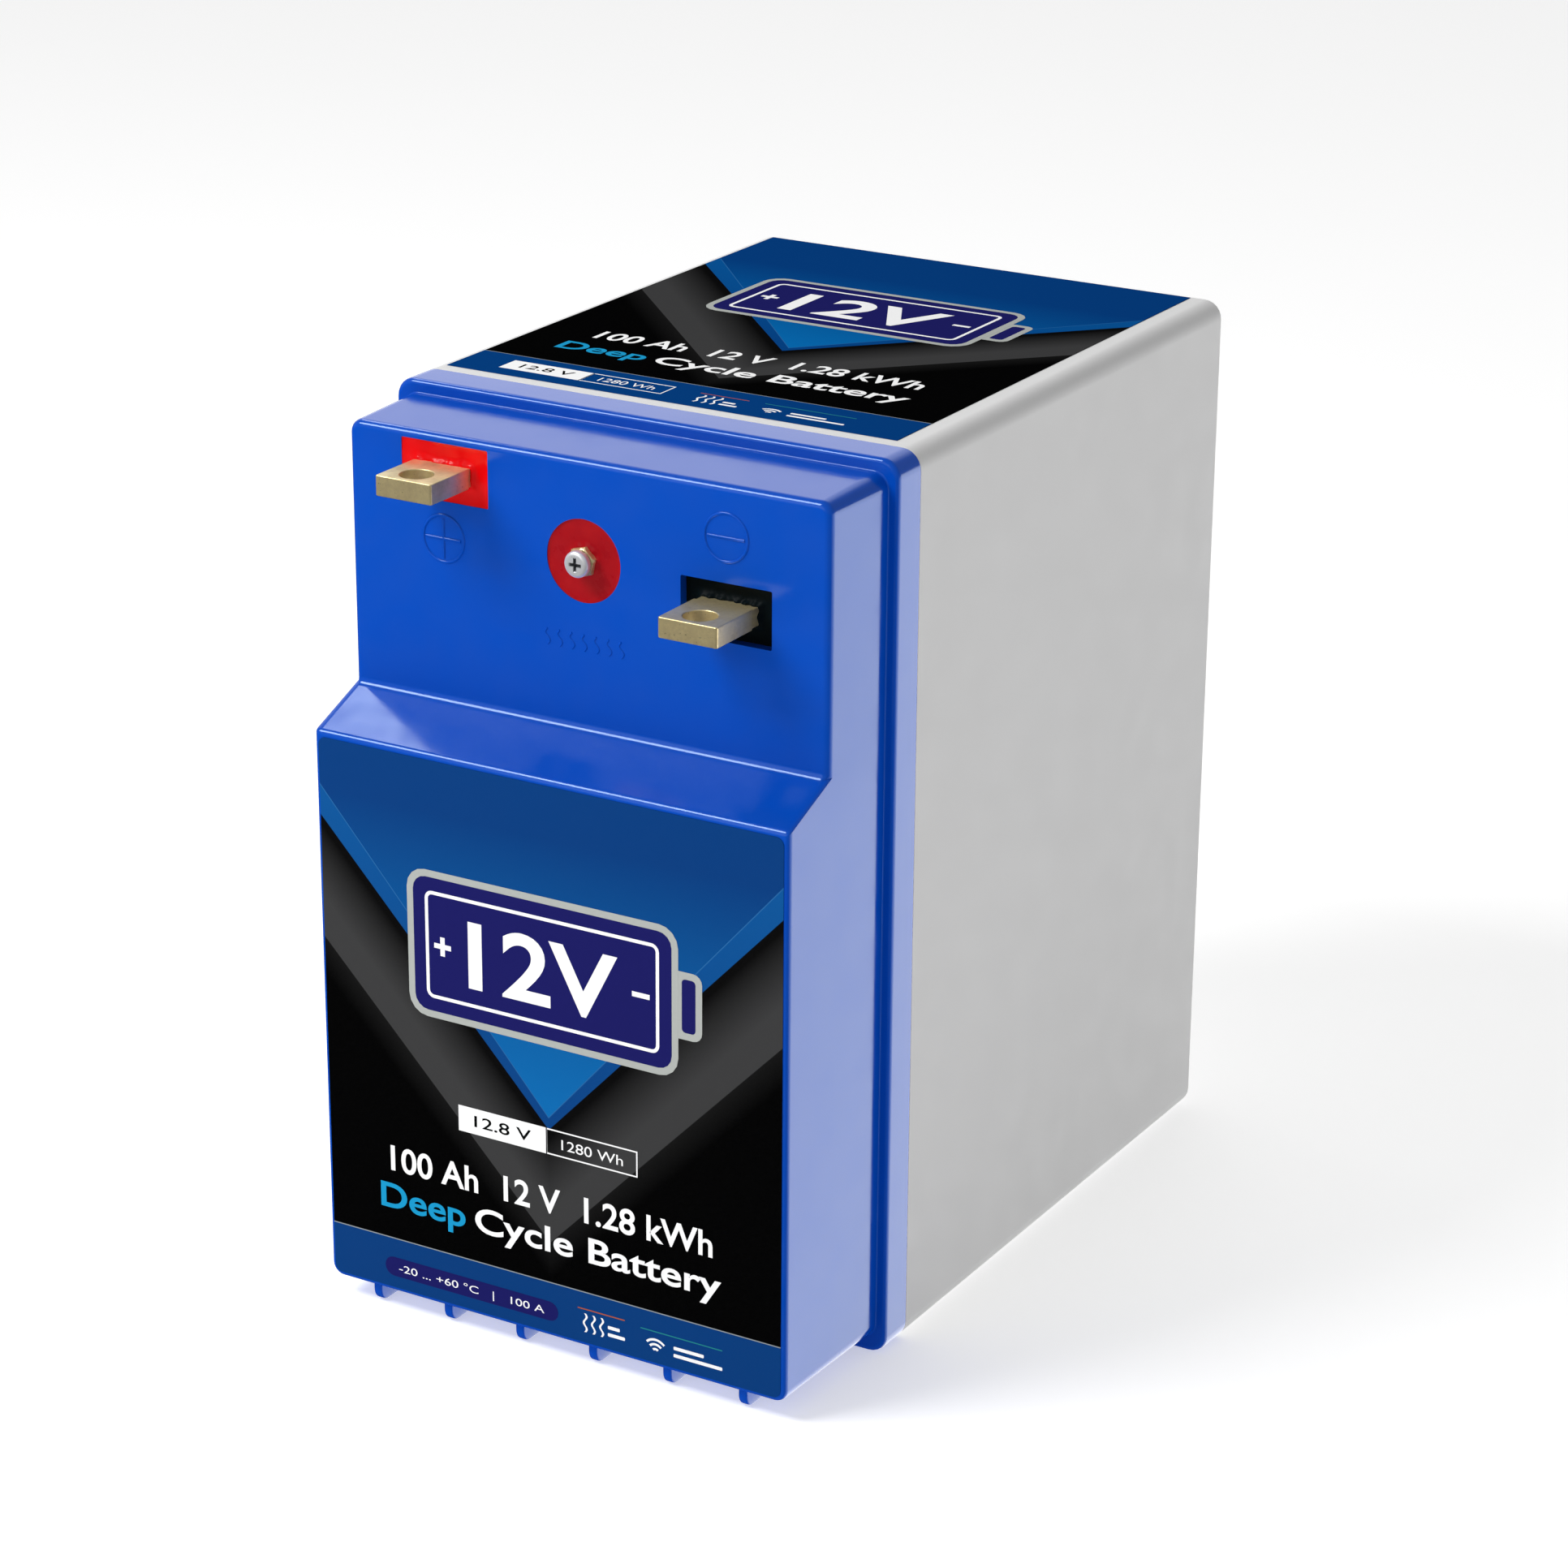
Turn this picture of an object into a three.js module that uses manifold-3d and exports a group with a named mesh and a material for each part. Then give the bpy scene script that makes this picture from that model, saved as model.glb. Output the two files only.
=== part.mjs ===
// A 12 volt, 100 amp-hour deep cycle battery: a grey moulded case closed by a blue stepped lid, with two
// brass terminal tabs, a heat-enable screw, and the cells, wiring and management board inside.
// Millimetres, +Z up. The battery stands on one long edge of its case, with the lid facing -Y.
// Every part is drawn from the parting plane between case and lid (y = 0) and moved back at the end, so that
// the origin is under the middle of the whole battery.
import * as THREE from "three";
import { mergeVertices } from "three/addons/utils/BufferGeometryUtils.js";
import Module from "manifold-3d";

const wasm = await Module();
wasm.setup();

// ---- Driving dimensions ----
const CASE_WIDTH = 171;
const CASE_HEIGHT = 280;
const CASE_DEPTH = 200;
const CASE_WALL = 4;
const CASE_CORNER = 6;
const CASE_BACK_ROUND = 3;

const FLANGE_DEPTH = 13;
const LID_WALL = 3;
const LID_HALF_WIDTH = 81.2;
const LID_BOTTOM = 6.5;
const LID_TOP = 274.8;
const LID_CORNER = 4;
const TERMINAL_FACE_Y = -43.2;
const HUMP_FACE_Y = -64.8;
const STEP_TOP = 194;
const STEP_BOTTOM = 185;

const FOOT_COUNT = 6;
const FOOT_PITCH = 26.2;
const FOOT_THICKNESS = 3;
const FOOT_NOSE = 4;
const FOOT_SETBACK = 2;

const LABEL_THICKNESS = 0.15;
const LABEL_LIFT = 0.05;
const LABEL_MARGIN = 1.6;

const TONGUE_INSET = 1.2;
const TONGUE_THICKNESS = 1.8;
const TONGUE_LENGTH = 5;
const GROOVE_SLACK = 0.3;

const WINDOW_WIDTH = 30;
const WINDOW_HEIGHT = 17.4;
const CUP_WALL = 2;
const CUP_BACK_Y = -31;
const TERMINAL_X = 47.5;
const POSITIVE_Z = 263.6;
const NEGATIVE_Z = 237.6;
const POSITIVE_RECESS = 0.4;
const NEGATIVE_RECESS = 3.4;

const TAB_WIDTH = 19.4;
const TAB_THICKNESS = 6.2;
const TAB_FRONT_Y = -64;
const TAB_SHOULDER_Y = -44.6;
const TAB_SHOULDER = 0.4;
const TAB_BACK_Y = -15;
const TAB_HOLE_RADIUS = 5;
const TAB_HOLE_Y = -57;
const BOLT_RADIUS = 3;
const BOLT_SLACK = 0.3;
const LUG_BOLT_Y = -22;

const DISC_RADIUS = 12.5;
const DISC_Z = 244.8;
const DISC_RECESS = 0.5;
const CONTACT_ACROSS_FLATS = 8.2;
const CONTACT_FRONT_Y = -45;
const CONTACT_BACK_Y = -28;
const SCREW_HOLE_RADIUS = 2.2;
const SCREW_RADIUS = 1.9;
const SCREW_TIP_Y = -34;
const SCREW_HEAD_RADIUS = 4;
const SCREW_HEAD_HEIGHT = 2.2;
const WASHER_RADIUS = 3.8;
const WASHER_THICKNESS = 0.5;

const CELL_COUNT = 4;
const CELL_WIDTH = 160;
const CELL_THICKNESS = 49.6;
const CELL_HEIGHT = 118.5;
const CELL_TOP_Y = 75;
const CELL_PAD = 1;
const CELL_PITCH = CELL_THICKNESS + CELL_PAD + 0.4;
const CELL_POST_X = 55;
const STUD_RADIUS = 3;
const NUT_ACROSS_FLATS = 10;
const NUT_HEIGHT = 4.6;
const BUSBAR_WIDTH = 20;
const BUSBAR_THICKNESS = 2;
const END_PLATE = 6;

const TRAY_Y = 52;
const BOARD_Y = 44.4;
const BOARD_THICKNESS = 1.6;
const BOARD_HALF_WIDTH = 66;
const BOARD_LOW_Z = 66;
const BOARD_HIGH_Z = 206;
const BOARD_SCREW_X = 60;
const BOARD_SCREW_INSET = 6;
const BOARD_STUD_X = 50;
const PACK_STUD_Z = 84;
const OUTPUT_STUD_Z = 130;
const CABLE_RADIUS = 4.5;
const LUG_THICKNESS = 2;
const LUG_LIFT = 3.2;
const CABLE_START = 14;
const FIT_GAP = 0.3;
const SEAT_GAP = 0.1;

const SWITCH_COUNT = 7;
const SWITCH_PITCH = 13.4;
const SWITCH_LOW_X = -58;
const SWITCH_HEIGHT = 4.4;

const CENTRE_Z = CASE_HEIGHT / 2;
const STACK_HEIGHT = CELL_COUNT * CELL_PITCH - CELL_PAD - 0.4;
const STACK_LOW_Z = CENTRE_Z - STACK_HEIGHT / 2;
const STACK_HIGH_Z = CENTRE_Z + STACK_HEIGHT / 2;
const CELL_BOTTOM_Y = CELL_TOP_Y + CELL_HEIGHT;
const POST_BASE_Y = CELL_TOP_Y - 1.5;
const CELL_LUG_Y = POST_BASE_Y - SEAT_GAP - LUG_THICKNESS / 2;
const BOARD_LUG_Y = BOARD_Y - 1 - SEAT_GAP - LUG_THICKNESS / 2;

// ---- Solids from three.js geometry ----
function toSolid(geometry) {
  const plain = geometry.index ? geometry.toNonIndexed() : geometry.clone();
  plain.deleteAttribute("normal");
  plain.deleteAttribute("uv");
  const merged = mergeVertices(plain, 1e-4);
  return new wasm.Manifold(
    new wasm.Mesh({
      numProp: 3,
      vertProperties: merged.attributes.position.array,
      triVerts: new Uint32Array(merged.index.array),
    }),
  );
}

function toGeometry(solid) {
  const mesh = solid.getMesh();
  const geometry = new THREE.BufferGeometry();
  const places = mesh.vertProperties.slice(0, mesh.numVert * mesh.numProp);
  geometry.setAttribute("position", new THREE.BufferAttribute(places, mesh.numProp));
  geometry.setIndex(new THREE.BufferAttribute(mesh.triVerts, 1));
  geometry.computeVertexNormals();
  return geometry;
}

// A box between two corners.
function box(x0, x1, y0, y1, z0, z1) {
  const geometry = new THREE.BoxGeometry(x1 - x0, y1 - y0, z1 - z0);
  return toSolid(geometry.translate((x0 + x1) / 2, (y0 + y1) / 2, (z0 + z1) / 2));
}

// A cylinder whose axis is "x", "y" or "z", from one place on that axis to another.
function cylinder(axis, radius, from, to, [a, b], sides = 16) {
  const geometry = new THREE.CylinderGeometry(radius, radius, to - from, sides);
  const middle = (from + to) / 2;
  if (axis === "x") return toSolid(geometry.rotateZ(-Math.PI / 2).translate(middle, a, b));
  if (axis === "z") return toSolid(geometry.rotateX(Math.PI / 2).translate(a, b, middle));
  return toSolid(geometry.translate(a, middle, b));
}

function roundedRectangle(width, height, radius, centreX = 0, centreZ = CENTRE_Z) {
  const shape = new THREE.Shape();
  const x = centreX - width / 2;
  const z = centreZ - height / 2;
  shape.moveTo(x + radius, z);
  shape.lineTo(x + width - radius, z);
  shape.absarc(x + width - radius, z + radius, radius, -Math.PI / 2, 0);
  shape.lineTo(x + width, z + height - radius);
  shape.absarc(x + width - radius, z + height - radius, radius, 0, Math.PI / 2);
  shape.lineTo(x + radius, z + height);
  shape.absarc(x + radius, z + height - radius, radius, Math.PI / 2, Math.PI);
  shape.lineTo(x, z + radius);
  shape.absarc(x + radius, z + radius, radius, Math.PI, (3 * Math.PI) / 2);
  return shape;
}

// An outline in X and Z, swept along Y from y0 to y1.
function alongY(shape, y0, y1, curveSegments = 4) {
  const geometry = new THREE.ExtrudeGeometry(shape, { depth: y1 - y0, bevelEnabled: false, curveSegments });
  return toSolid(geometry.rotateX(Math.PI / 2).translate(0, y1, 0));
}

// An outline in Y and Z, swept along X from x0 to x1.
function alongX(shape, x0, x1, curveSegments = 4) {
  const geometry = new THREE.ExtrudeGeometry(shape, { depth: x1 - x0, bevelEnabled: false, curveSegments });
  const turn = new THREE.Matrix4().makeBasis(
    new THREE.Vector3(0, 1, 0),
    new THREE.Vector3(0, 0, 1),
    new THREE.Vector3(1, 0, 0),
  );
  return toSolid(geometry.applyMatrix4(turn).translate(x0, 0, 0));
}

// A round bar of the given radius along a smooth curve through the points.
function tube(points, radius, steps, sides = 8) {
  const section = new THREE.Shape();
  for (let i = 0; i < sides; i += 1) {
    const angle = (i * 2 * Math.PI) / sides;
    const place = [radius * Math.cos(angle), radius * Math.sin(angle)];
    if (i === 0) section.moveTo(...place);
    else section.lineTo(...place);
  }
  const path = new THREE.CatmullRomCurve3(points.map((point) => new THREE.Vector3(...point)));
  return toSolid(new THREE.ExtrudeGeometry(section, { steps, extrudePath: path, bevelEnabled: false }));
}

const hexPrism = (x, z, y0, y1, acrossFlats) => cylinder("y", acrossFlats / Math.sqrt(3), y0, y1, [x, z], 6);

// A hexagon nut on a stud that stands along Y.
function studNut(x, z, seatY) {
  const nut = hexPrism(x, z, seatY - NUT_HEIGHT, seatY, NUT_ACROSS_FLATS);
  return nut.subtract(cylinder("y", STUD_RADIUS + FIT_GAP / 2, seatY - NUT_HEIGHT - 1, seatY + 1, [x, z], 8));
}

const joined = (solids) => solids.reduce((whole, solid) => whole.add(solid));
const cutBy = (solid, cutters) => cutters.reduce((left, cutter) => left.subtract(cutter), solid);

// ---- Materials ----
const finish = (color, roughness, metalness = 0) =>
  new THREE.MeshStandardMaterial({ color, roughness, metalness });
const materials = {
  caseGrey: finish(0xc6c6c6, 0.55),
  lidBlue: finish(0x054bb9, 0.3),
  sealBlack: finish(0x151515, 0.9),
  labelFilm: finish(0x053c7c, 0.35),
  brass: finish(0xb09a68, 0.32, 1),
  pottingRed: finish(0xc40d16, 0.35),
  pottingBlack: finish(0x12161c, 0.45),
  zincSteel: finish(0xc9ccd0, 0.3, 1),
  cellFoil: finish(0x2d5f9e, 0.5),
  barCopper: finish(0xb87333, 0.35, 1),
  plateGrey: finish(0x5b5e63, 0.7),
  foamBlack: finish(0x2a2a2a, 1),
  padWhite: finish(0xe4e2da, 0.8),
  heaterFilm: finish(0xb5651d, 0.6),
  boardGreen: finish(0x0f5b34, 0.5),
  sinkAluminium: finish(0xb8bcc0, 0.4, 1),
  cableRed: finish(0xb01218, 0.5),
  cableBlack: finish(0x161616, 0.5),
  wireWhite: finish(0xd8d8d8, 0.5),
};

const battery = new THREE.Group();
const assembly = new THREE.Group();
battery.add(assembly);

function addPart(name, solid, material) {
  const mesh = new THREE.Mesh(toGeometry(solid), material);
  mesh.name = name;
  assembly.add(mesh);
}

// ---- Case ----
// A ring that follows the case wall, from one distance inside its outer face to another.
function wallRing(outerInset, innerInset, y0, y1) {
  const outline = (inset) =>
    roundedRectangle(CASE_WIDTH - 2 * inset, CASE_HEIGHT - 2 * inset, Math.max(CASE_CORNER - inset, 1));
  return alongY(outline(outerInset), y0, y1).subtract(alongY(outline(innerInset), y0 - 1, y1 + 1));
}

// The outside of the case, rounded towards its closed end.
function caseBlock() {
  const core = roundedRectangle(
    CASE_WIDTH - 2 * CASE_BACK_ROUND,
    CASE_HEIGHT - 2 * CASE_BACK_ROUND,
    CASE_CORNER - CASE_BACK_ROUND,
  );
  const geometry = new THREE.ExtrudeGeometry(core, {
    depth: CASE_DEPTH,
    bevelSize: CASE_BACK_ROUND,
    bevelThickness: CASE_BACK_ROUND,
    bevelSegments: 3,
    curveSegments: 4,
  });
  const block = toSolid(geometry.rotateX(Math.PI / 2).translate(0, CASE_DEPTH - CASE_BACK_ROUND, 0));
  return block.intersect(box(-CASE_WIDTH, CASE_WIDTH, 0, CASE_DEPTH, -1, CASE_HEIGHT + 1));
}

function makeCase() {
  const cavity = alongY(
    roundedRectangle(CASE_WIDTH - 2 * CASE_WALL, CASE_HEIGHT - 2 * CASE_WALL, CASE_CORNER - 3),
    -1,
    CASE_DEPTH - CASE_WALL,
  );
  const tongue = wallRing(TONGUE_INSET, TONGUE_INSET + TONGUE_THICKNESS, -TONGUE_LENGTH, 1);
  addPart("case", caseBlock().subtract(cavity).add(tongue), materials.caseGrey);
}

// ---- Lid ----
// The side outline of the lid's body, pulled in all round by an inset: the terminal face, the hump below.
function lidOutline(inset) {
  const slope = (HUMP_FACE_Y - TERMINAL_FACE_Y) / (STEP_BOTTOM - STEP_TOP);
  const slant = inset * (Math.hypot(1, slope) - slope);
  const shape = new THREE.Shape();
  shape.moveTo(0, LID_BOTTOM + inset);
  shape.lineTo(0, LID_TOP - inset);
  shape.lineTo(TERMINAL_FACE_Y + inset, LID_TOP - inset);
  shape.lineTo(TERMINAL_FACE_Y + inset, STEP_TOP - slant / slope);
  shape.lineTo(HUMP_FACE_Y + inset, STEP_BOTTOM - slant / slope);
  shape.lineTo(HUMP_FACE_Y + inset, LID_BOTTOM + inset);
  return shape;
}

function lidBody(inset, backY) {
  const width = 2 * (LID_HALF_WIDTH - inset);
  const height = LID_TOP - LID_BOTTOM - 2 * inset;
  const outline = roundedRectangle(width, height, LID_CORNER - inset, 0, (LID_TOP + LID_BOTTOM) / 2);
  return alongX(lidOutline(inset), -width / 2, width / 2).intersect(alongY(outline, HUMP_FACE_Y - 1, backY));
}

// One of the ribs under the lid that bring it level with the case.
function lidFoot(x) {
  const shape = new THREE.Shape();
  const nose = HUMP_FACE_Y + FOOT_SETBACK;
  shape.moveTo(-FLANGE_DEPTH + 1, LID_BOTTOM + 1);
  shape.lineTo(-FLANGE_DEPTH + 1, 0);
  shape.lineTo(nose + FOOT_NOSE, 0);
  shape.absarc(nose + FOOT_NOSE, FOOT_NOSE, FOOT_NOSE, -Math.PI / 2, -Math.PI, true);
  shape.lineTo(nose, LID_BOTTOM + 1);
  return alongX(shape, x - FOOT_THICKNESS / 2, x + FOOT_THICKNESS / 2);
}

function windowBox(x, z, grow, y0, y1) {
  const halfWidth = WINDOW_WIDTH / 2 + grow;
  const halfHeight = WINDOW_HEIGHT / 2 + grow;
  return box(x - halfWidth, x + halfWidth, y0, y1, z - halfHeight, z + halfHeight);
}

// The signs moulded on the lid: a ring with one or two bars across it.
function polaritySign(x, z, plus) {
  const face = TERMINAL_FACE_Y - 0.35;
  const back = TERMINAL_FACE_Y + 1;
  const hole = cylinder("y", 6.9, face - 1, back + 1, [x, z], 24);
  const ring = cylinder("y", 7.7, face, back, [x, z], 24).subtract(hole);
  const bars = [box(x - 7, x + 7, face, back, z - 0.4, z + 0.4)];
  if (plus) bars.push(box(x - 0.4, x + 0.4, face, back, z - 7, z + 7));
  return joined([ring, ...bars]);
}

function makeLid() {
  const flange = alongY(roundedRectangle(CASE_WIDTH, CASE_HEIGHT, CASE_CORNER), -FLANGE_DEPTH, 0);
  const feet = [];
  for (let i = 0; i < FOOT_COUNT; i += 1) feet.push(lidFoot((i - (FOOT_COUNT - 1) / 2) * FOOT_PITCH));
  const outside = joined([flange, lidBody(0, -1), ...feet]);

  const innerInset = TONGUE_INSET + TONGUE_THICKNESS + LID_WALL;
  const flangeRoom = alongY(
    roundedRectangle(CASE_WIDTH - 2 * innerInset, CASE_HEIGHT - 2 * innerInset, 2),
    LID_WALL - FLANGE_DEPTH,
    1,
  );
  const groove = wallRing(
    TONGUE_INSET - GROOVE_SLACK,
    TONGUE_INSET + TONGUE_THICKNESS + GROOVE_SLACK,
    -TONGUE_LENGTH - 1.4,
    1,
  );
  const shell = cutBy(outside, [flangeRoom, lidBody(LID_WALL, 1), groove]);

  const cups = [
    windowBox(-TERMINAL_X, POSITIVE_Z, CUP_WALL, TERMINAL_FACE_Y + 1, CUP_BACK_Y),
    windowBox(TERMINAL_X, NEGATIVE_Z, CUP_WALL, TERMINAL_FACE_Y + 1, CUP_BACK_Y),
    cylinder("y", DISC_RADIUS + CUP_WALL, TERMINAL_FACE_Y + 1, CUP_BACK_Y, [0, DISC_Z], 32),
  ];
  const signs = [
    polaritySign(-TERMINAL_X, POSITIVE_Z - 19.5, true),
    polaritySign(TERMINAL_X, NEGATIVE_Z + 22.5, false),
  ];
  const openings = [
    windowBox(-TERMINAL_X, POSITIVE_Z, 0, TERMINAL_FACE_Y - 2, CUP_BACK_Y + 1),
    windowBox(TERMINAL_X, NEGATIVE_Z, 0, TERMINAL_FACE_Y - 2, CUP_BACK_Y + 1),
    cylinder("y", DISC_RADIUS, TERMINAL_FACE_Y - 2, CUP_BACK_Y + 1, [0, DISC_Z], 32),
  ];
  addPart("lid", cutBy(joined([shell, ...cups, ...signs]), openings), materials.lidBlue);
  addPart(
    "lid_seal",
    wallRing(TONGUE_INSET, TONGUE_INSET + TONGUE_THICKNESS, -TONGUE_LENGTH - 1.2, -TONGUE_LENGTH - 0.2),
    materials.sealBlack,
  );
}

// ---- Labels ----
function makeLabels() {
  const width = 2 * (LID_HALF_WIDTH - LABEL_MARGIN);
  const height = STEP_BOTTOM - LID_BOTTOM - 2 * LABEL_MARGIN;
  const frontLabel = roundedRectangle(width, height, 2.5, 0, (STEP_BOTTOM + LID_BOTTOM) / 2);
  const frontY = HUMP_FACE_Y - LABEL_LIFT;
  addPart("front_label", alongY(frontLabel, frontY - LABEL_THICKNESS, frontY), materials.labelFilm);
  const topZ = CASE_HEIGHT + LABEL_LIFT;
  addPart("top_label", box(-79.3, 75, 4.7, 196.3, topZ, topZ + LABEL_THICKNESS), materials.labelFilm);
}

// ---- Terminals ----
// A flat brass tab standing out of its window, the potting round it, and the bolt that holds the inner cable.
// Behind a small shoulder in front of the window, the tab is slightly narrower and thinner.
function makeTerminal(name, x, z, recess, pottingMaterial) {
  const tabBox = (grow, y0, y1) => {
    const halfWidth = TAB_WIDTH / 2 + grow;
    const halfThickness = TAB_THICKNESS / 2 + grow;
    return box(x - halfWidth, x + halfWidth, y0, y1, z - halfThickness, z + halfThickness);
  };
  const holes = [
    cylinder("z", TAB_HOLE_RADIUS, z - 9, z + 9, [x, TAB_HOLE_Y], 24),
    cylinder("z", BOLT_RADIUS + BOLT_SLACK, z - 9, z + 9, [x, LUG_BOLT_Y], 10),
  ];
  const blade = tabBox(0, TAB_FRONT_Y, TAB_SHOULDER_Y);
  const root = tabBox(-TAB_SHOULDER, TAB_SHOULDER_Y - 1, TAB_BACK_Y);
  addPart(name + "_terminal", cutBy(blade.add(root), holes), materials.brass);

  const potting = windowBox(x, z, -FIT_GAP / 2, TERMINAL_FACE_Y + recess, CUP_BACK_Y - 0.5);
  addPart(
    name + "_potting",
    potting.subtract(tabBox(FIT_GAP / 2 - TAB_SHOULDER, TERMINAL_FACE_Y - 2, CUP_BACK_Y + 1)),
    pottingMaterial,
  );

  const tabTop = z + TAB_THICKNESS / 2 - TAB_SHOULDER;
  const head = cylinder("z", 5.4, tabTop + SEAT_GAP, tabTop + 4, [x, LUG_BOLT_Y], 6);
  const shank = cylinder("z", BOLT_RADIUS, z - TAB_THICKNESS / 2 - 9, tabTop + 1, [x, LUG_BOLT_Y], 10);
  addPart(name + "_lug_bolt", head.add(shank), materials.zincSteel);
}

// ---- Heat-enable contact ----
// A cross-shaped driver recess, cut into the screw's head from the front.
function crossRecess(frontY) {
  const depth = 1.3;
  const blades = [box(-2.1, 2.1, frontY - 1, frontY + depth, DISC_Z - 0.45, DISC_Z + 0.45)];
  blades.push(box(-0.45, 0.45, frontY - 1, frontY + depth, DISC_Z - 2.1, DISC_Z + 2.1));
  return joined(blades);
}

function makeHeatEnable() {
  const centre = [0, DISC_Z];
  const discFront = TERMINAL_FACE_Y + DISC_RECESS;
  const disc = cylinder("y", DISC_RADIUS - FIT_GAP / 2, discFront, CUP_BACK_Y - 2, centre, 32);
  const roomWidth = CONTACT_ACROSS_FLATS + FIT_GAP;
  const contactRoom = hexPrism(0, DISC_Z, TERMINAL_FACE_Y - 2, CUP_BACK_Y + 1, roomWidth);
  addPart("heat_enable_disc", disc.subtract(contactRoom), materials.pottingRed);

  const contact = hexPrism(0, DISC_Z, CONTACT_FRONT_Y, CONTACT_BACK_Y, CONTACT_ACROSS_FLATS);
  const bore = cylinder("y", SCREW_HOLE_RADIUS, CONTACT_FRONT_Y - 1, CONTACT_BACK_Y - 2, centre, 12);
  addPart("heat_enable_contact", contact.subtract(bore), materials.brass);

  const washerBack = CONTACT_FRONT_Y - SEAT_GAP;
  const washerFront = washerBack - WASHER_THICKNESS;
  const washer = cylinder("y", WASHER_RADIUS, washerFront, washerBack, centre, 24);
  const washerHole = cylinder("y", SCREW_HOLE_RADIUS, washerFront - 1, washerBack + 1, centre, 12);
  addPart("heat_enable_washer", washer.subtract(washerHole), materials.zincSteel);

  // A pan head: a flat seat, a short straight side and a rounded front.
  const seatY = washerFront - SEAT_GAP;
  const frontY = seatY - SCREW_HEAD_HEIGHT;
  const sideHeight = 1;
  const domeHeight = SCREW_HEAD_HEIGHT - sideHeight;
  const outline = [new THREE.Vector2(0, 0), new THREE.Vector2(SCREW_HEAD_RADIUS, 0)];
  const domeSteps = 4;
  for (let i = 0; i <= domeSteps; i += 1) {
    const angle = (i * Math.PI) / 2 / domeSteps;
    const radius = SCREW_HEAD_RADIUS - domeHeight * (1 - Math.cos(angle));
    outline.push(new THREE.Vector2(radius, sideHeight + domeHeight * Math.sin(angle)));
  }
  outline.push(new THREE.Vector2(0, SCREW_HEAD_HEIGHT));
  const pan = new THREE.LatheGeometry(outline, 20).rotateX(Math.PI).translate(0, seatY, DISC_Z);
  const shank = cylinder("y", SCREW_RADIUS, seatY - 0.5, SCREW_TIP_Y, centre, 12);
  addPart("heat_enable_screw", toSolid(pan).subtract(crossRecess(frontY)).add(shank), materials.zincSteel);
}

// ---- Cells ----
const cellMiddleZ = (index) => STACK_LOW_Z + CELL_THICKNESS / 2 + index * CELL_PITCH;

function makeCells() {
  for (let i = 0; i < CELL_COUNT; i += 1) {
    const z = cellMiddleZ(i);
    const low = z - CELL_THICKNESS / 2;
    const high = z + CELL_THICKNESS / 2;
    const pieces = [
      box(-CELL_WIDTH / 2, CELL_WIDTH / 2, CELL_TOP_Y, CELL_BOTTOM_Y, low, high),
      box(-12, 12, CELL_TOP_Y - 0.6, CELL_TOP_Y + 1, z - 6, z + 6),
    ];
    for (const x of [-CELL_POST_X, CELL_POST_X]) {
      pieces.push(cylinder("y", 9, POST_BASE_Y, CELL_TOP_Y + 1, [x, z], 16));
      pieces.push(cylinder("y", STUD_RADIUS, POST_BASE_Y - 9, CELL_TOP_Y + 1, [x, z], 8));
    }
    addPart("cell_" + (i + 1), joined(pieces), materials.cellFoil);
  }
  for (let i = 1; i < CELL_COUNT; i += 1) {
    const low = cellMiddleZ(i - 1) + CELL_THICKNESS / 2 + 0.2;
    const pad = box(-78, 78, CELL_TOP_Y + 1, CELL_BOTTOM_Y - 1, low, low + CELL_PAD);
    addPart("cell_pad_" + i, pad, materials.padWhite);
  }
}

// Flat bars that join the cells in series, and a nut on each stud.
function makeBusbars() {
  const barBack = POST_BASE_Y - SEAT_GAP;
  const barFront = barBack - BUSBAR_THICKNESS;
  const halfWidth = BUSBAR_WIDTH / 2;
  for (let i = 1; i < CELL_COUNT; i += 1) {
    const x = i % 2 === 1 ? CELL_POST_X : -CELL_POST_X;
    const ends = [cellMiddleZ(i - 1), cellMiddleZ(i)];
    const low = ends[0] - halfWidth;
    const bar = box(x - halfWidth, x + halfWidth, barFront, barBack, low, ends[1] + halfWidth);
    const holes = ends.map((z) => cylinder("y", STUD_RADIUS + FIT_GAP, barFront - 1, barBack + 1, [x, z], 8));
    addPart("busbar_" + i, cutBy(bar, holes), materials.barCopper);
  }
  for (let i = 0; i < CELL_COUNT; i += 1) {
    const z = cellMiddleZ(i);
    const seatY = barFront - SEAT_GAP;
    addPart("cell_nut_" + (2 * i + 1), studNut(-CELL_POST_X, z, seatY), materials.zincSteel);
    addPart("cell_nut_" + (2 * i + 2), studNut(CELL_POST_X, z, seatY), materials.zincSteel);
  }
}

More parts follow.
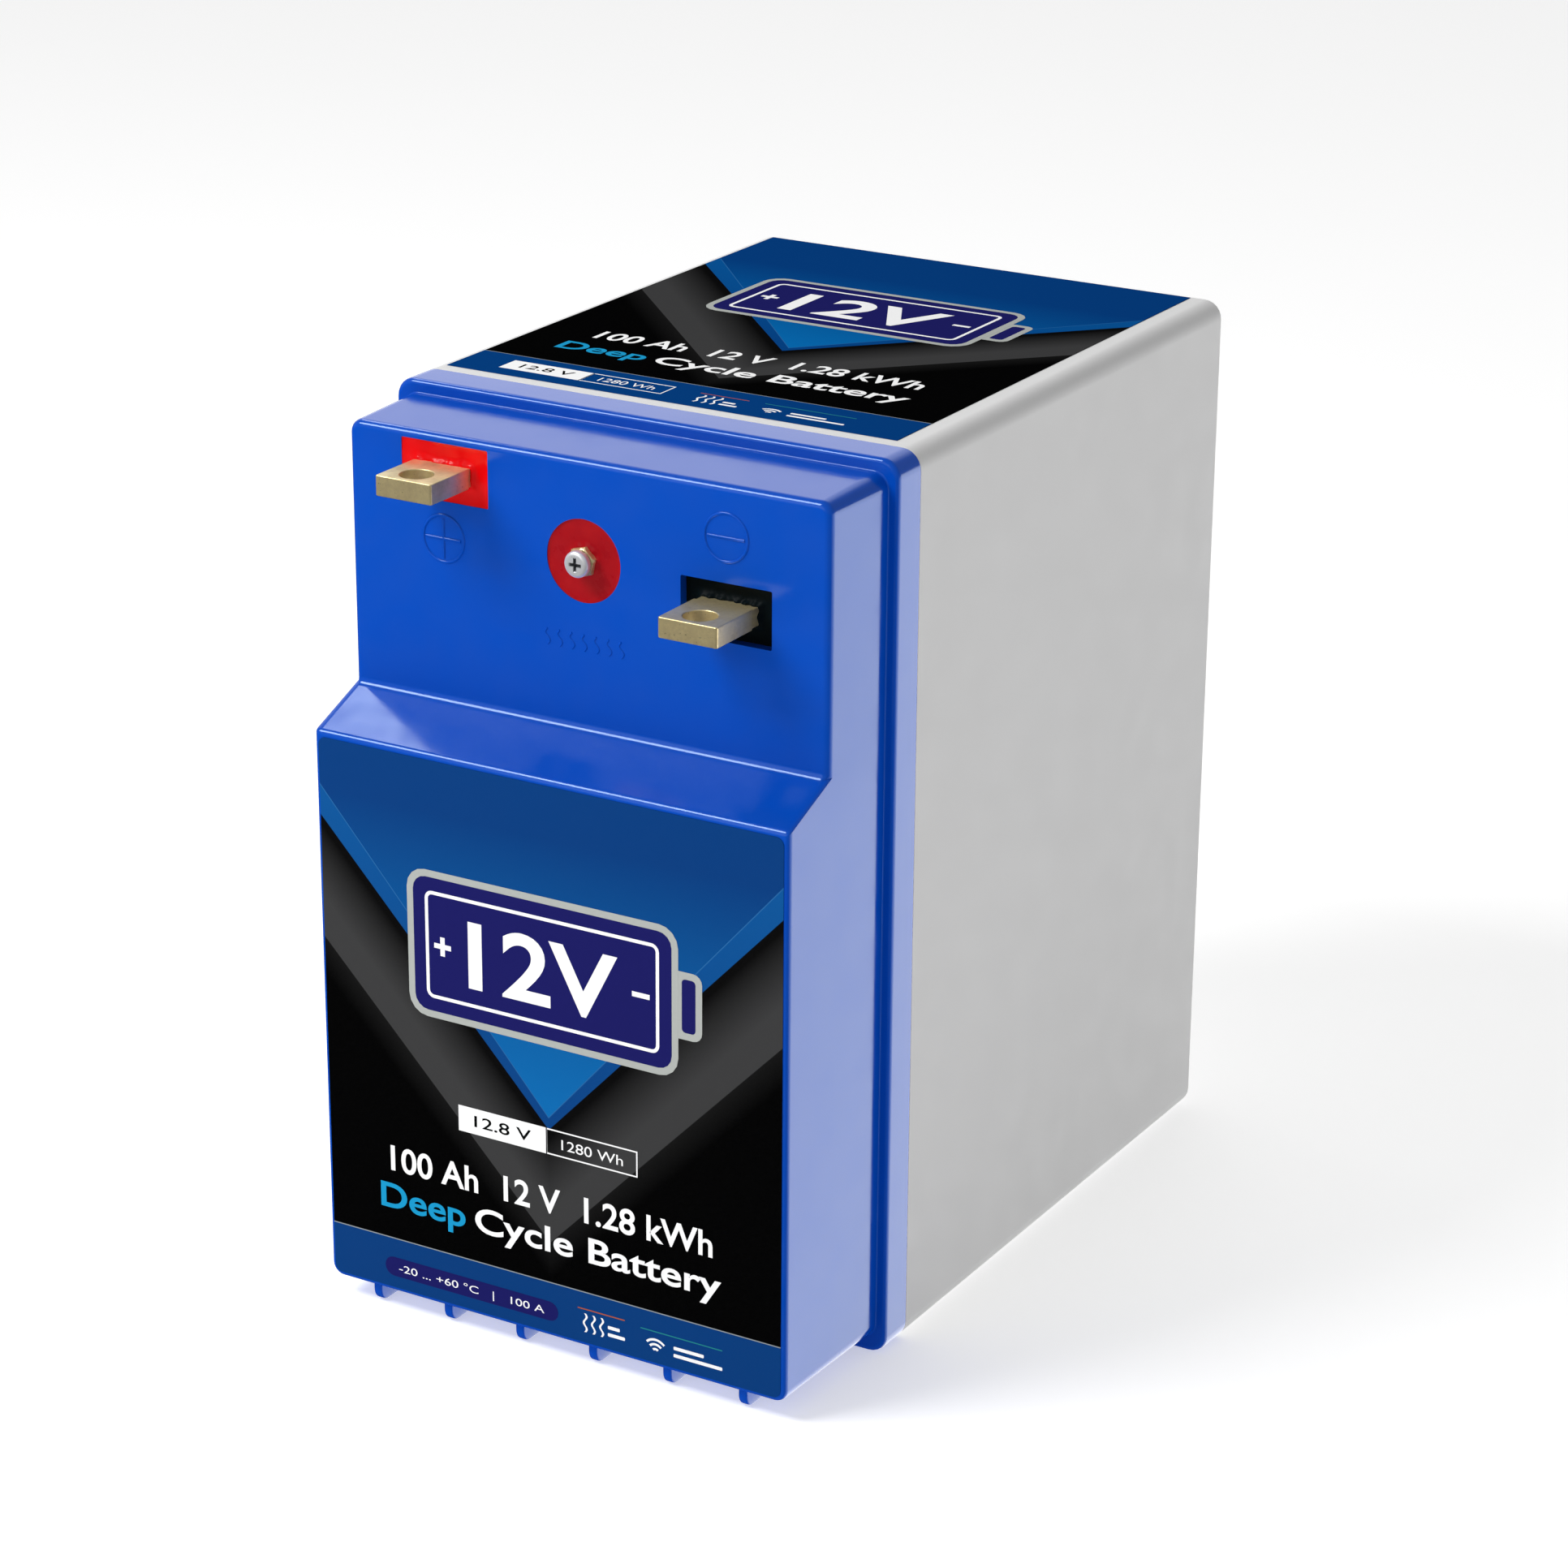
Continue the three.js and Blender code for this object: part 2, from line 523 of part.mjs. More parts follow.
// Plates, bands, foam and the heating film that hold and warm the stack of cells.
function makeStackFrame() {
  const lowPlate = STACK_LOW_Z - FIT_GAP;
  const highPlate = STACK_HIGH_Z + FIT_GAP;
  addPart("end_plate_lower", box(-79, 79, 78, 192, lowPlate - END_PLATE, lowPlate), materials.plateGrey);
  addPart("end_plate_upper", box(-79, 79, 78, 192, highPlate, highPlate + END_PLATE), materials.plateGrey);

  const halfWidth = CELL_WIDTH / 2 + 0.2;
  const halfHeight = STACK_HEIGHT / 2 + FIT_GAP + END_PLATE + SEAT_GAP;
  const bandRing = (grow, y0, y1) => {
    const reach = halfHeight + grow;
    return box(-halfWidth - grow, halfWidth + grow, y0, y1, CENTRE_Z - reach, CENTRE_Z + reach);
  };
  const makeBand = (name, y) =>
    addPart(name, bandRing(0.6, y, y + 16).subtract(bandRing(0, y - 1, y + 17)), materials.zincSteel);
  makeBand("tie_band_front", 100);
  makeBand("tie_band_back", 165);

  const foamStart = halfHeight + 1;
  const foamEnd = CASE_HEIGHT / 2 - CASE_WALL - 0.4;
  addPart("foam_lower", box(-66, 66, 80, 190, CENTRE_Z - foamEnd, CENTRE_Z - foamStart), materials.foamBlack);
  addPart("foam_upper", box(-66, 66, 80, 190, CENTRE_Z + foamStart, CENTRE_Z + foamEnd), materials.foamBlack);
  const padY = CELL_BOTTOM_Y + FIT_GAP;
  addPart("heater_pad", box(-76, 76, padY, padY + 1.4, 40, 240), materials.heaterFilm);
}

// ---- Battery management system ----
const boardCorners = [-1, 1].flatMap((side) => [
  [side * BOARD_SCREW_X, BOARD_LOW_Z + BOARD_SCREW_INSET],
  [side * BOARD_SCREW_X, BOARD_HIGH_Z - BOARD_SCREW_INSET],
]);
// The plastic tray that carries the board over the cells, on four feet.
function makeTray() {
  const standoffFront = BOARD_Y + BOARD_THICKNESS + 0.2;
  const pieces = [box(-73, 73, TRAY_Y, TRAY_Y + 2.5, 60, 212)];
  for (const corner of boardCorners) pieces.push(cylinder("y", 4.5, standoffFront, TRAY_Y + 1, corner, 12));
  for (const z of [90, 196]) {
    pieces.push(box(-73, -67, TRAY_Y + 1, CELL_TOP_Y - FIT_GAP, z, z + 6));
    pieces.push(box(67, 73, TRAY_Y + 1, CELL_TOP_Y - FIT_GAP, z, z + 6));
  }
  const socket = (corner) => cylinder("y", 1.7, standoffFront - 1, TRAY_Y + 0.5, corner, 8);
  addPart("bms_tray", cutBy(joined(pieces), boardCorners.map(socket)), materials.plateGrey);
}

// The management board with its row of power switches, capacitors, processor and two cable studs.
function makeBoard() {
  const pieces = [
    box(-BOARD_HALF_WIDTH, BOARD_HALF_WIDTH, BOARD_Y, BOARD_Y + BOARD_THICKNESS, BOARD_LOW_Z, BOARD_HIGH_Z),
    box(-14, 2, BOARD_Y - 1.6, BOARD_Y + 0.5, 100, 116),
  ];
  for (let i = 0; i < SWITCH_COUNT; i += 1) {
    const x = SWITCH_LOW_X + i * SWITCH_PITCH;
    pieces.push(box(x, x + 10, BOARD_Y - SWITCH_HEIGHT, BOARD_Y + 0.5, 160, 172));
  }
  for (const x of [-50, -36, -22]) pieces.push(cylinder("y", 5, BOARD_Y - 14, BOARD_Y + 0.5, [x, 142], 12));
  for (const z of [PACK_STUD_Z, OUTPUT_STUD_Z]) {
    pieces.push(cylinder("y", 7.5, BOARD_Y - 1, BOARD_Y + 0.5, [BOARD_STUD_X, z], 12));
    pieces.push(cylinder("y", STUD_RADIUS, BOARD_Y - 10, BOARD_Y + 0.5, [BOARD_STUD_X, z], 8));
  }
  const holes = boardCorners.map((corner) => cylinder("y", 1.8, BOARD_Y - 1, BOARD_Y + 3, corner, 8));
  addPart("bms_board", cutBy(joined(pieces), holes), materials.boardGreen);
}

function makeBoardFittings() {
  boardCorners.forEach((corner, i) => {
    const head = cylinder("y", 3.2, BOARD_Y - 2.6, BOARD_Y - 0.2, corner, 10);
    const shank = cylinder("y", 1.5, BOARD_Y - 1, TRAY_Y - FIT_GAP, corner, 8);
    addPart("bms_screw_" + (i + 1), head.add(shank), materials.zincSteel);
  });
  const nutSeat = BOARD_LUG_Y - LUG_THICKNESS / 2 - SEAT_GAP;
  addPart("bms_nut_pack", studNut(BOARD_STUD_X, PACK_STUD_Z, nutSeat), materials.zincSteel);
  addPart("bms_nut_output", studNut(BOARD_STUD_X, OUTPUT_STUD_Z, nutSeat), materials.zincSteel);

  const sinkBack = BOARD_Y - SWITCH_HEIGHT - FIT_GAP;
  const sinkWidth = (SWITCH_COUNT - 1) * SWITCH_PITCH + 10;
  const sink = [box(SWITCH_LOW_X, SWITCH_LOW_X + sinkWidth, sinkBack - 3, sinkBack, 154, 192)];
  for (let i = 0; i < SWITCH_COUNT; i += 1) {
    const x = SWITCH_LOW_X + i * SWITCH_PITCH + 4;
    sink.push(box(x, x + 2, sinkBack - 14, sinkBack - 2, 154, 192));
  }
  addPart("bms_heatsink", joined(sink), materials.sinkAluminium);

  const radio = [
    box(-60, -32, BOARD_Y - 4.2, BOARD_Y - 3, 84, 104),
    box(-56, -42, BOARD_Y - 6.6, BOARD_Y - 4, 87, 101),
    box(-59, -33, BOARD_Y - 3.5, BOARD_Y - FIT_GAP, 84.5, 87),
  ];
  addPart("radio_module", joined(radio), materials.boardGreen);
  addPart("balance_connector", box(-22, 6, BOARD_Y - 8, BOARD_Y - FIT_GAP, 74, 81), materials.padWhite);
}

// ---- Cables ----
// Each cable end is a flat ring lug round a stud. Its barrel starts beside the ring and is lifted off the
// seat, and the cable starts further along the barrel.
function lug({ centre, stand, lift, along }) {
  const [x, y, z] = centre;
  const half = LUG_THICKNESS / 2;
  const disc = (radius, reach, sides) =>
    stand === "y"
      ? cylinder("y", radius, y - reach, y + reach, [x, z], sides)
      : cylinder("z", radius, z - reach, z + reach, [x, y], sides);
  const onAxis = (distance) => centre.map((value, i) => value + lift[i] * LUG_LIFT + along[i] * distance);
  const barrel = tube([onAxis(7), onAxis(CABLE_START + 3)], CABLE_RADIUS - 0.8, 1);
  return { solid: disc(8, half, 16).add(barrel).subtract(disc(STUD_RADIUS + FIT_GAP, 2 * half, 8)), onAxis };
}

// A cable between two lugs, by way of points that it bends through.
function makeCable(name, from, via, to, material) {
  const start = lug(from);
  const end = lug(to);
  const route = [start.onAxis(CABLE_START), start.onAxis(CABLE_START + 6), ...via];
  route.push(end.onAxis(CABLE_START + 6), end.onAxis(CABLE_START));
  addPart(name, joined([tube(route, CABLE_RADIUS, 16), start.solid, end.solid]), material);
}

function makeCables() {
  const underTab = TAB_THICKNESS / 2 - TAB_SHOULDER + SEAT_GAP + LUG_THICKNESS / 2;
  const forward = [0, -1, 0];
  const up = [0, 0, 1];
  const down = [0, 0, -1];
  const tabLug = (x, z) => ({
    centre: [x, LUG_BOLT_Y, z - underTab],
    stand: "z",
    lift: down,
    along: [0, 1, 0],
  });
  const cellLug = (index, along) => ({
    centre: [-CELL_POST_X, CELL_LUG_Y, cellMiddleZ(index)],
    stand: "y",
    lift: forward,
    along,
  });
  const boardLug = (z, along) => ({
    centre: [BOARD_STUD_X, BOARD_LUG_Y, z],
    stand: "y",
    lift: forward,
    along,
  });

  const positiveVia = [[-48, 26, 255], [-51, 50, 250]];
  makeCable(
    "positive_cable",
    tabLug(-TERMINAL_X, POSITIVE_Z),
    positiveVia,
    cellLug(CELL_COUNT - 1, up),
    materials.cableRed,
  );
  const negativeVia = [[54, 18, 212], [59, 27, 186], [56, 35, 166]];
  makeCable(
    "negative_cable",
    tabLug(TERMINAL_X, NEGATIVE_Z),
    negativeVia,
    boardLug(OUTPUT_STUD_Z, up),
    materials.cableBlack,
  );
  const packVia = [[-48, 58, 30], [-22, 46, 22], [14, 40, 26], [38, 38, 42]];
  makeCable(
    "pack_negative_cable",
    cellLug(0, down),
    packVia,
    boardLug(PACK_STUD_Z, down),
    materials.cableBlack,
  );
}

// The thin wires: cell sensing leads with a branch to each bar, the heat-enable wire and the heater's leads.
function makeWires() {
  const trunkY = 64;
  const underBoard = [[-8, 34, 77], [-8, 28, 68], [-8, 32, 54], [-5, 46, 48], [0, 60, 54]];
  const alongCells = [[0, trunkY, 66], [0, trunkY, 140], [0, trunkY, 214]];
  const leads = [tube([...underBoard, ...alongCells], 2, 24)];
  for (let i = 1; i < CELL_COUNT; i += 1) {
    const side = i % 2 === 1 ? 1 : -1;
    const z = (cellMiddleZ(i - 1) + cellMiddleZ(i)) / 2;
    const reach = side * (CELL_POST_X - BUSBAR_WIDTH / 2 - FIT_GAP);
    leads.push(tube([[0, trunkY, z - 8], [reach / 2, trunkY + 3, z - 3], [reach, CELL_LUG_Y, z]], 1, 6));
  }
  addPart("balance_leads", joined(leads), materials.wireWhite);

  const contactEnd = [0, CONTACT_BACK_Y + FIT_GAP, DISC_Z];
  const enableVia = [[0, -16, 243], [4, 0, 226], [13, 16, 204], [19, 22, 150], [11, 30, 120]];
  addPart(
    "heat_enable_wire",
    tube([contactEnd, ...enableVia, [6, BOARD_Y - 1.5, 110]], 1.1, 20),
    materials.wireWhite,
  );

  const padY = CELL_BOTTOM_Y + 1.2;
  const behindCells = [[72, padY, 240.4], [72, padY - 0.7, 248], [72, 186, 260]];
  const overCells = [[72, 150, 264], [72, 100, 264], [71, 72, 256], [66, 52, 232]];
  const boardEnd = [60, BOARD_Y + 0.8, BOARD_HIGH_Z + 0.4];
  addPart("heater_leads", tube([...behindCells, ...overCells, boardEnd], 1, 24), materials.wireWhite);
}

makeCase();
makeLid();
makeLabels();
makeTerminal("positive", -TERMINAL_X, POSITIVE_Z, POSITIVE_RECESS, materials.pottingRed);
makeTerminal("negative", TERMINAL_X, NEGATIVE_Z, NEGATIVE_RECESS, materials.pottingBlack);
makeHeatEnable();
makeCells();
makeBusbars();
makeStackFrame();
makeTray();
makeBoard();
makeBoardFittings();
makeCables();
makeWires();

// The origin goes under the middle of the whole battery, front label to closed end.
const FRONT_Y = HUMP_FACE_Y - LABEL_LIFT - LABEL_THICKNESS;
assembly.position.y = -(CASE_DEPTH + FRONT_Y) / 2;

export default battery;
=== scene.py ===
import math

import bmesh
import bpy
from mathutils import Matrix, Vector, noise


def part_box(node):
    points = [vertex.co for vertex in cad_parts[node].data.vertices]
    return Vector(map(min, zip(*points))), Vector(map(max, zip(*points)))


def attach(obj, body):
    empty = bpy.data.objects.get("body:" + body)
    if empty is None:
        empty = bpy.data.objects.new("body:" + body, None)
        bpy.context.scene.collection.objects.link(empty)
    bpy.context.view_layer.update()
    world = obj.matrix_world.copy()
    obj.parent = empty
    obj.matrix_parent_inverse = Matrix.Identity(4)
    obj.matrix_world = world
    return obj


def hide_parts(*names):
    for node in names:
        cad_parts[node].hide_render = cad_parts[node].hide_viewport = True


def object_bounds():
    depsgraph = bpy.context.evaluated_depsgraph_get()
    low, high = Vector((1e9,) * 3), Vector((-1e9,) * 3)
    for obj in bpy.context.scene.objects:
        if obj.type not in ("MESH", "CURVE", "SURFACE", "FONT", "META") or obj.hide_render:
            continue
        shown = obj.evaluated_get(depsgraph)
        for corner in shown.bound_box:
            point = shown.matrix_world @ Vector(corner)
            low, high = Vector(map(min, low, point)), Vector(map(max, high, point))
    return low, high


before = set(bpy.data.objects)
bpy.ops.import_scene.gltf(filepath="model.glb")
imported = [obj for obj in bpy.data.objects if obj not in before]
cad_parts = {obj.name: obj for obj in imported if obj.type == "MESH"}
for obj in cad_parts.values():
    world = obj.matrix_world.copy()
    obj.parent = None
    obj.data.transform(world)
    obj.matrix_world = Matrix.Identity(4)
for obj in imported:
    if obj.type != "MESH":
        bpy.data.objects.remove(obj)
cad_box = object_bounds()

# A deep cycle battery resting on one narrow side: satin grey case, glossy blue stepped lid, printed labels,
# and brass tabs set in resin. Lengths are in millimetres, and become metres where meshes are made.
MM = 0.001
BATTERY = "battery"

# ---- Places read from the frame, in millimetres ----


def node_box(node):
    low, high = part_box(node)
    return [value / MM for value in low], [value / MM for value in high]


def middle_of(node):
    """The x and z of a node's middle."""
    low, high = node_box(node)
    return (low[0] + high[0]) / 2, (low[2] + high[2]) / 2


CASE_HIGH = node_box("case")[1]
LID_LOW, LID_HIGH = node_box("lid")
PARTING_Y = LID_HIGH[1]
HALF_WIDTH = CASE_HIGH[0]
CASE_END_Y = CASE_HIGH[1]
HEIGHT = CASE_HIGH[2]
DISC_LOW, DISC_HIGH = node_box("heat_enable_disc")
DISC_X, DISC_Z = middle_of("heat_enable_disc")

# ---- Sizes of the case and lid, in millimetres ----

# The case, the lip in its mouth, and the lid's groove that the lip enters.
CASE_CORNER = 6.0
CASE_WALL = 4.0
CASE_BACK_ROUND = 3.0
LIP_OUTER = 1.2
LIP_INNER = 3.0
LIP_LENGTH = 5.0
GROOVE_OUTER = 0.9
GROOVE_INNER = 3.3
GROOVE_DEPTH = 6.4
SEAM = 0.35

# The lid: a flange at the seam, and a drafted, stepped body in front of it.
FLANGE_FRONT_Y = PARTING_Y - 13.0
TERMINAL_FACE_Y = PARTING_Y - 43.2
HUMP_FACE_Y = LID_LOW[1]
BODY_HALF_WIDTH = 81.2
BODY_LOW = 6.5
BODY_HIGH = 274.8
BODY_CORNER = 4.0
STEP_TOP = 194.0
STEP_BOTTOM = 185.0
LID_WALL = 3.0
LID_CAVITY_INSET = 6.0
DRAFT = 1.1

# How far the lid's edges are rounded.
FLANGE_ARRIS = 1.7
ROOT_FILLET = 0.6
FACE_ARRIS = 2.3
STEP_FILLET = 2.0
HUMP_ARRIS = 1.5

# The windows for the resin, and the cups behind them.
WINDOW_GAP = 0.15
WINDOW_CORNER = 0.5
CUP_WALL = 2.0
CUP_CORNER = 1.5
CUP_FRONT_Y = TERMINAL_FACE_Y + 1.5
CUP_BACK_Y = PARTING_Y - 31.0
DISC_RADIUS = (DISC_HIGH[0] - DISC_LOW[0]) / 2 + WINDOW_GAP

# Points closer than this are one point.
WELD = 0.0005


# ---- Meshes ----


def mesh_from(points, faces):
    """A mesh from points in millimetres."""
    mesh = bpy.data.meshes.new("part")
    mesh.from_pydata([[value * MM for value in point] for point in points], [], faces)
    mesh.validate()
    return mesh


def bmesh_from(mesh):
    work = bmesh.new()
    work.from_mesh(mesh)
    return work


def finish_bmesh(work):
    bmesh.ops.recalc_face_normals(work, faces=work.faces)
    mesh = bpy.data.meshes.new("part")
    work.to_mesh(mesh)
    work.free()
    return mesh


def evaluated_mesh(piece):
    bpy.context.view_layer.update()
    depsgraph = bpy.context.evaluated_depsgraph_get()
    return bpy.data.meshes.new_from_object(piece.evaluated_get(depsgraph))


def temporary(mesh):
    piece = bpy.data.objects.new("temporary", mesh)
    bpy.context.scene.collection.objects.link(piece)
    return piece


def combined(mesh, other, operation):
    """The union or difference of two closed meshes."""
    piece = temporary(mesh)
    cutter = temporary(other)
    modifier = piece.modifiers.new("cut", "BOOLEAN")
    modifier.operation = operation
    modifier.solver = "EXACT"
    modifier.object = cutter
    result = evaluated_mesh(piece)
    bpy.data.objects.remove(piece)
    bpy.data.objects.remove(cutter)
    return result


def merged(meshes):
    """Several meshes side by side in one."""
    work = bmesh.new()
    for mesh in meshes:
        work.from_mesh(mesh)
    result = bpy.data.meshes.new("part")
    work.to_mesh(result)
    work.free()
    return result


def show(name, mesh, material, body=BATTERY, replaces=(), smooth_angle=35, weighted=False):
    """Adds a mesh to the scene as a named piece that rides on a body."""
    mesh.name = name
    mesh.materials.clear()
    mesh.materials.append(material)
    mesh.shade_smooth()
    mesh.set_sharp_from_angle(angle=math.radians(smooth_angle))
    piece = bpy.data.objects.new(name, mesh)
    bpy.context.scene.collection.objects.link(piece)
    if weighted:
        modifier = piece.modifiers.new("flat_faces_stay_flat", "WEIGHTED_NORMAL")
        modifier.keep_sharp = True
    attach(piece, body)
    if replaces:
        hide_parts(*replaces)
    return piece


def arc(centre_x, centre_z, radius, start, end, steps):
    points = []
    for i in range(steps + 1):
        angle = math.radians(start + (end - start) * i / steps)
        points.append((centre_x + radius * math.cos(angle), centre_z + radius * math.sin(angle)))
    return points


def rounded_ring(x0, x1, z0, z1, radius, steps=6, side_stops=()):
    """Points round a rounded rectangle, with extra points at given heights on both upright sides."""
    points = arc(x1 - radius, z0 + radius, radius, -90, 0, steps)
    points += [(x1, stop) for stop in side_stops]
    points += arc(x1 - radius, z1 - radius, radius, 0, 90, steps)
    points += arc(x0 + radius, z1 - radius, radius, 90, 180, steps)
    points += [(x0, stop) for stop in reversed(side_stops)]
    points += arc(x0 + radius, z0 + radius, radius, 180, 270, steps)
    return points


def circle(centre_x, centre_z, radius, steps=64):
    return arc(centre_x, centre_z, radius, 0, 360 * (steps - 1) / steps, steps - 1)


def disc_point(reach, y, angle):
    """A point at a distance and an angle from the heat-enable screw's axis."""
    return DISC_X + reach * math.cos(angle), y, DISC_Z + reach * math.sin(angle)


def band(here, after, count):
    """The four-sided faces between two rings of points, given where each ring starts."""
    return [(here + i, here + (i + 1) % count, after + (i + 1) % count, after + i) for i in range(count)]


def solid_from(points, faces):
    return finish_bmesh(bmesh_from(mesh_from(points, faces)))


def sweep(rings):
    """A skin through rings of points that have the same count, closed at both ends."""
    count = len(rings[0])
    points = [point for ring in rings for point in ring]
    faces = []
    for row in range(len(rings) - 1):
        faces += band(row * count, (row + 1) * count, count)
    faces.append(tuple(range(count)))
    faces.append(tuple(range((len(rings) - 1) * count, len(rings) * count)))
    return solid_from(points, faces)


def hollow(rings):
    """A closed band through rings, with the last ring joined back to the first."""
    count = len(rings[0])
    points = [point for ring in rings for point in ring]
    faces = []
    for row in range(len(rings)):
        faces += band(row * count, (row + 1) % len(rings) * count, count)
    return solid_from(points, faces)


def spun(profile, steps):
    """A closed profile of (radius, y) points turned about the heat-enable screw's axis."""
    rings = []
    for i in range(steps):
        angle = 2 * math.pi * i / steps
        rings.append([disc_point(radius, y, angle) for radius, y in profile])
    work = bmesh_from(hollow(rings))
    bmesh.ops.remove_doubles(work, verts=work.verts, dist=2 * WELD * MM)
    bmesh.ops.dissolve_degenerate(work, edges=work.edges, dist=WELD * MM)
    return finish_bmesh(work)


def prism(ring, y0, y1):
    """A ring of (x, z) points pushed along Y."""
    return sweep([[(x, y0, z) for x, z in ring], [(x, y1, z) for x, z in ring]])


def built(data):
    """The finished mesh of a curve or a text."""
    piece = temporary(data)
    mesh = evaluated_mesh(piece)
    bpy.data.objects.remove(piece)
    return mesh


def flat_shape(loops, thickness, bevel=0.0, bevel_steps=2):
    """A plate filled from loops of (u, v) points, with holes where loops lie inside others."""
    curve = bpy.data.curves.new("shape", "CURVE")
    curve.dimensions = "2D"
    curve.fill_mode = "BOTH"
    curve.extrude = (thickness / 2 - bevel) * MM
    curve.bevel_depth = bevel * MM
    curve.bevel_resolution = bevel_steps
    curve.offset = -bevel * MM
    for loop in loops:
        spline = curve.splines.new("POLY")
        spline.points.add(len(loop) - 1)
        for point, (u, v) in zip(spline.points, loop):
            point.co = (u * MM, v * MM, 0, 1)
        spline.use_cyclic_u = True
    work = bmesh_from(built(curve))
    bmesh.ops.remove_doubles(work, verts=work.verts, dist=WELD * MM)
    return finish_bmesh(work)


def text_shape(words, size, thickness, weight):
    """Filled letters in their own plane, made bolder by a weight."""
    curve = bpy.data.curves.new("words", "FONT")
    curve.body = words
    curve.size = size * MM
    curve.extrude = thickness / 2 * MM
    curve.offset = weight * MM
    curve.resolution_u = 6
    return built(curve)


# ---- Shader nodes ----


class Nodes:
    """Adds linked nodes to a tree."""

    def __init__(self, tree):
        self.tree = tree

    def feed(self, socket, value):
        if isinstance(value, bpy.types.NodeSocket):
            self.tree.links.new(value, socket)
        else:
            socket.default_value = value

    def node(self, kind, inputs=None, **settings):
        made = self.tree.nodes.new(kind)
        for key, value in settings.items():
            setattr(made, key, value)
        for key, value in (inputs or {}).items():
            self.feed(made.inputs[key], value)
        return made

    def ramp(self, value, low, high, to_low, to_high):
        inputs = {0: value, 1: low, 2: high, 3: to_low, 4: to_high}
        return self.node("ShaderNodeMapRange", inputs).outputs[0]


class Shader(Nodes):
    """A node material round one Principled BSDF."""

    def __init__(self, name):
        self.material = bpy.data.materials.new(name)
        self.material.use_nodes = True
        super().__init__(self.material.node_tree)
        self.surface = self.tree.nodes["Principled BSDF"]
        self.place = self.node("ShaderNodeTexCoord").outputs["Object"]

    def set(self, **values):
        for key, value in values.items():
            self.feed(self.surface.inputs[key.replace("_", " ")], value)

    def math(self, operation, a, b=0.0):
        return self.node("ShaderNodeMath", {0: a, 1: b}, operation=operation).outputs[0]

    def noise(self, scale, detail=2.0, roughness=0.5, stretch=None):
        place = self.place
        if stretch:
            place = self.node("ShaderNodeMapping", {"Vector": place, "Scale": stretch}).outputs[0]
        inputs = {"Vector": place, "Scale": scale, "Detail": detail, "Roughness": roughness}
        return self.node("ShaderNodeTexNoise", inputs).outputs[0]

    def mix(self, factor, a, b):
        made = self.node("ShaderNodeMix", data_type="RGBA")
        self.feed(made.inputs[0], factor)
        self.feed(made.inputs[6], a)
        self.feed(made.inputs[7], b)
        return made.outputs[2]

    def bump(self, height, strength, distance, normal=None):
        inputs = {"Height": height, "Strength": strength, "Distance": distance}
        if normal:
            inputs["Normal"] = normal
        return self.node("ShaderNodeBump", inputs).outputs[0]


def shade(color, factor):
    return tuple(min(1.0, channel * factor) for channel in color[:3]) + (1.0,)


def mottled(shader, color, scale, spread):
    """A colour that drifts a little lighter and darker."""
    return shader.mix(shader.noise(scale, 3.0), shade(color, 1 - spread), shade(color, 1 + spread))


def moulded_plastic(name, color, roughness, grain_scale, grain_depth, spread=0.03, ior=1.45, tint=(1, 1, 1)):
    """Plastic with a fine grain, a slow waviness and a gloss that may be tinted."""
    shader = Shader(name)
    grain = shader.noise(grain_scale, 3.0, 0.6)
    waves = shader.noise(35.0, 2.0)
    coarse = shader.bump(waves, 0.05, 0.4 * MM)
    shader.set(
        Base_Color=mottled(shader, color, 14.0, spread),
        Roughness=shader.ramp(shader.noise(90.0, 4.0), 0.3, 0.7, roughness - 0.03, roughness + 0.05),
        Normal=shader.bump(grain, 0.35, grain_depth * MM, coarse),
        IOR=ior,
        Specular_Tint=tint + (1,),
    )
    return shader.material


METAL_DRIFT_SCALE = 160.0
METAL_DRIFT = 0.08


def give_plating(shader, color, roughness, metallic):
    """Gives a shader the fine grain of plated metal."""
    grain = shader.noise(900.0, 4.0, 0.6)
    shader.set(
        Base_Color=color,
        Metallic=metallic,
        Roughness=shader.ramp(grain, 0.3, 0.7, roughness - 0.06, roughness + 0.1),
        Normal=shader.bump(grain, 0.2, 0.02 * MM),
    )


def plated_metal(name, color, roughness, metallic=1.0):
    shader = Shader(name)
    give_plating(shader, mottled(shader, color, METAL_DRIFT_SCALE, METAL_DRIFT), roughness, metallic)
    return shader.material


def machined_brass():
    """Bar brass with fine draw lines along Y, a dull film and a few dark specks."""
    shader = Shader("machined_brass")
    lines = shader.noise(1400.0, 5.0, 0.65, stretch=(1.0, 0.04, 1.0))
    film = shader.noise(160.0, 5.0, 0.6)
    tarnish = shader.ramp(film, 0.42, 0.68, 0.0, 1.0)
    specks = shader.ramp(shader.noise(1500.0, 2.0), 0.68, 0.74, 0.0, 0.6)
    clean = shader.mix(lines, (0.74, 0.61, 0.31, 1), (0.94, 0.79, 0.44, 1))
    dulled = shader.mix(shader.math("MULTIPLY", tarnish, 0.45), clean, (0.36, 0.27, 0.15, 1))
    color = shader.mix(specks, dulled, (0.16, 0.12, 0.07, 1))
    shader.set(
        Base_Color=color,
        Metallic=0.75,
        Roughness=shader.ramp(film, 0.3, 0.7, 0.34, 0.5),
        Normal=shader.bump(lines, 0.3, 0.03 * MM),
    )
    return shader.material


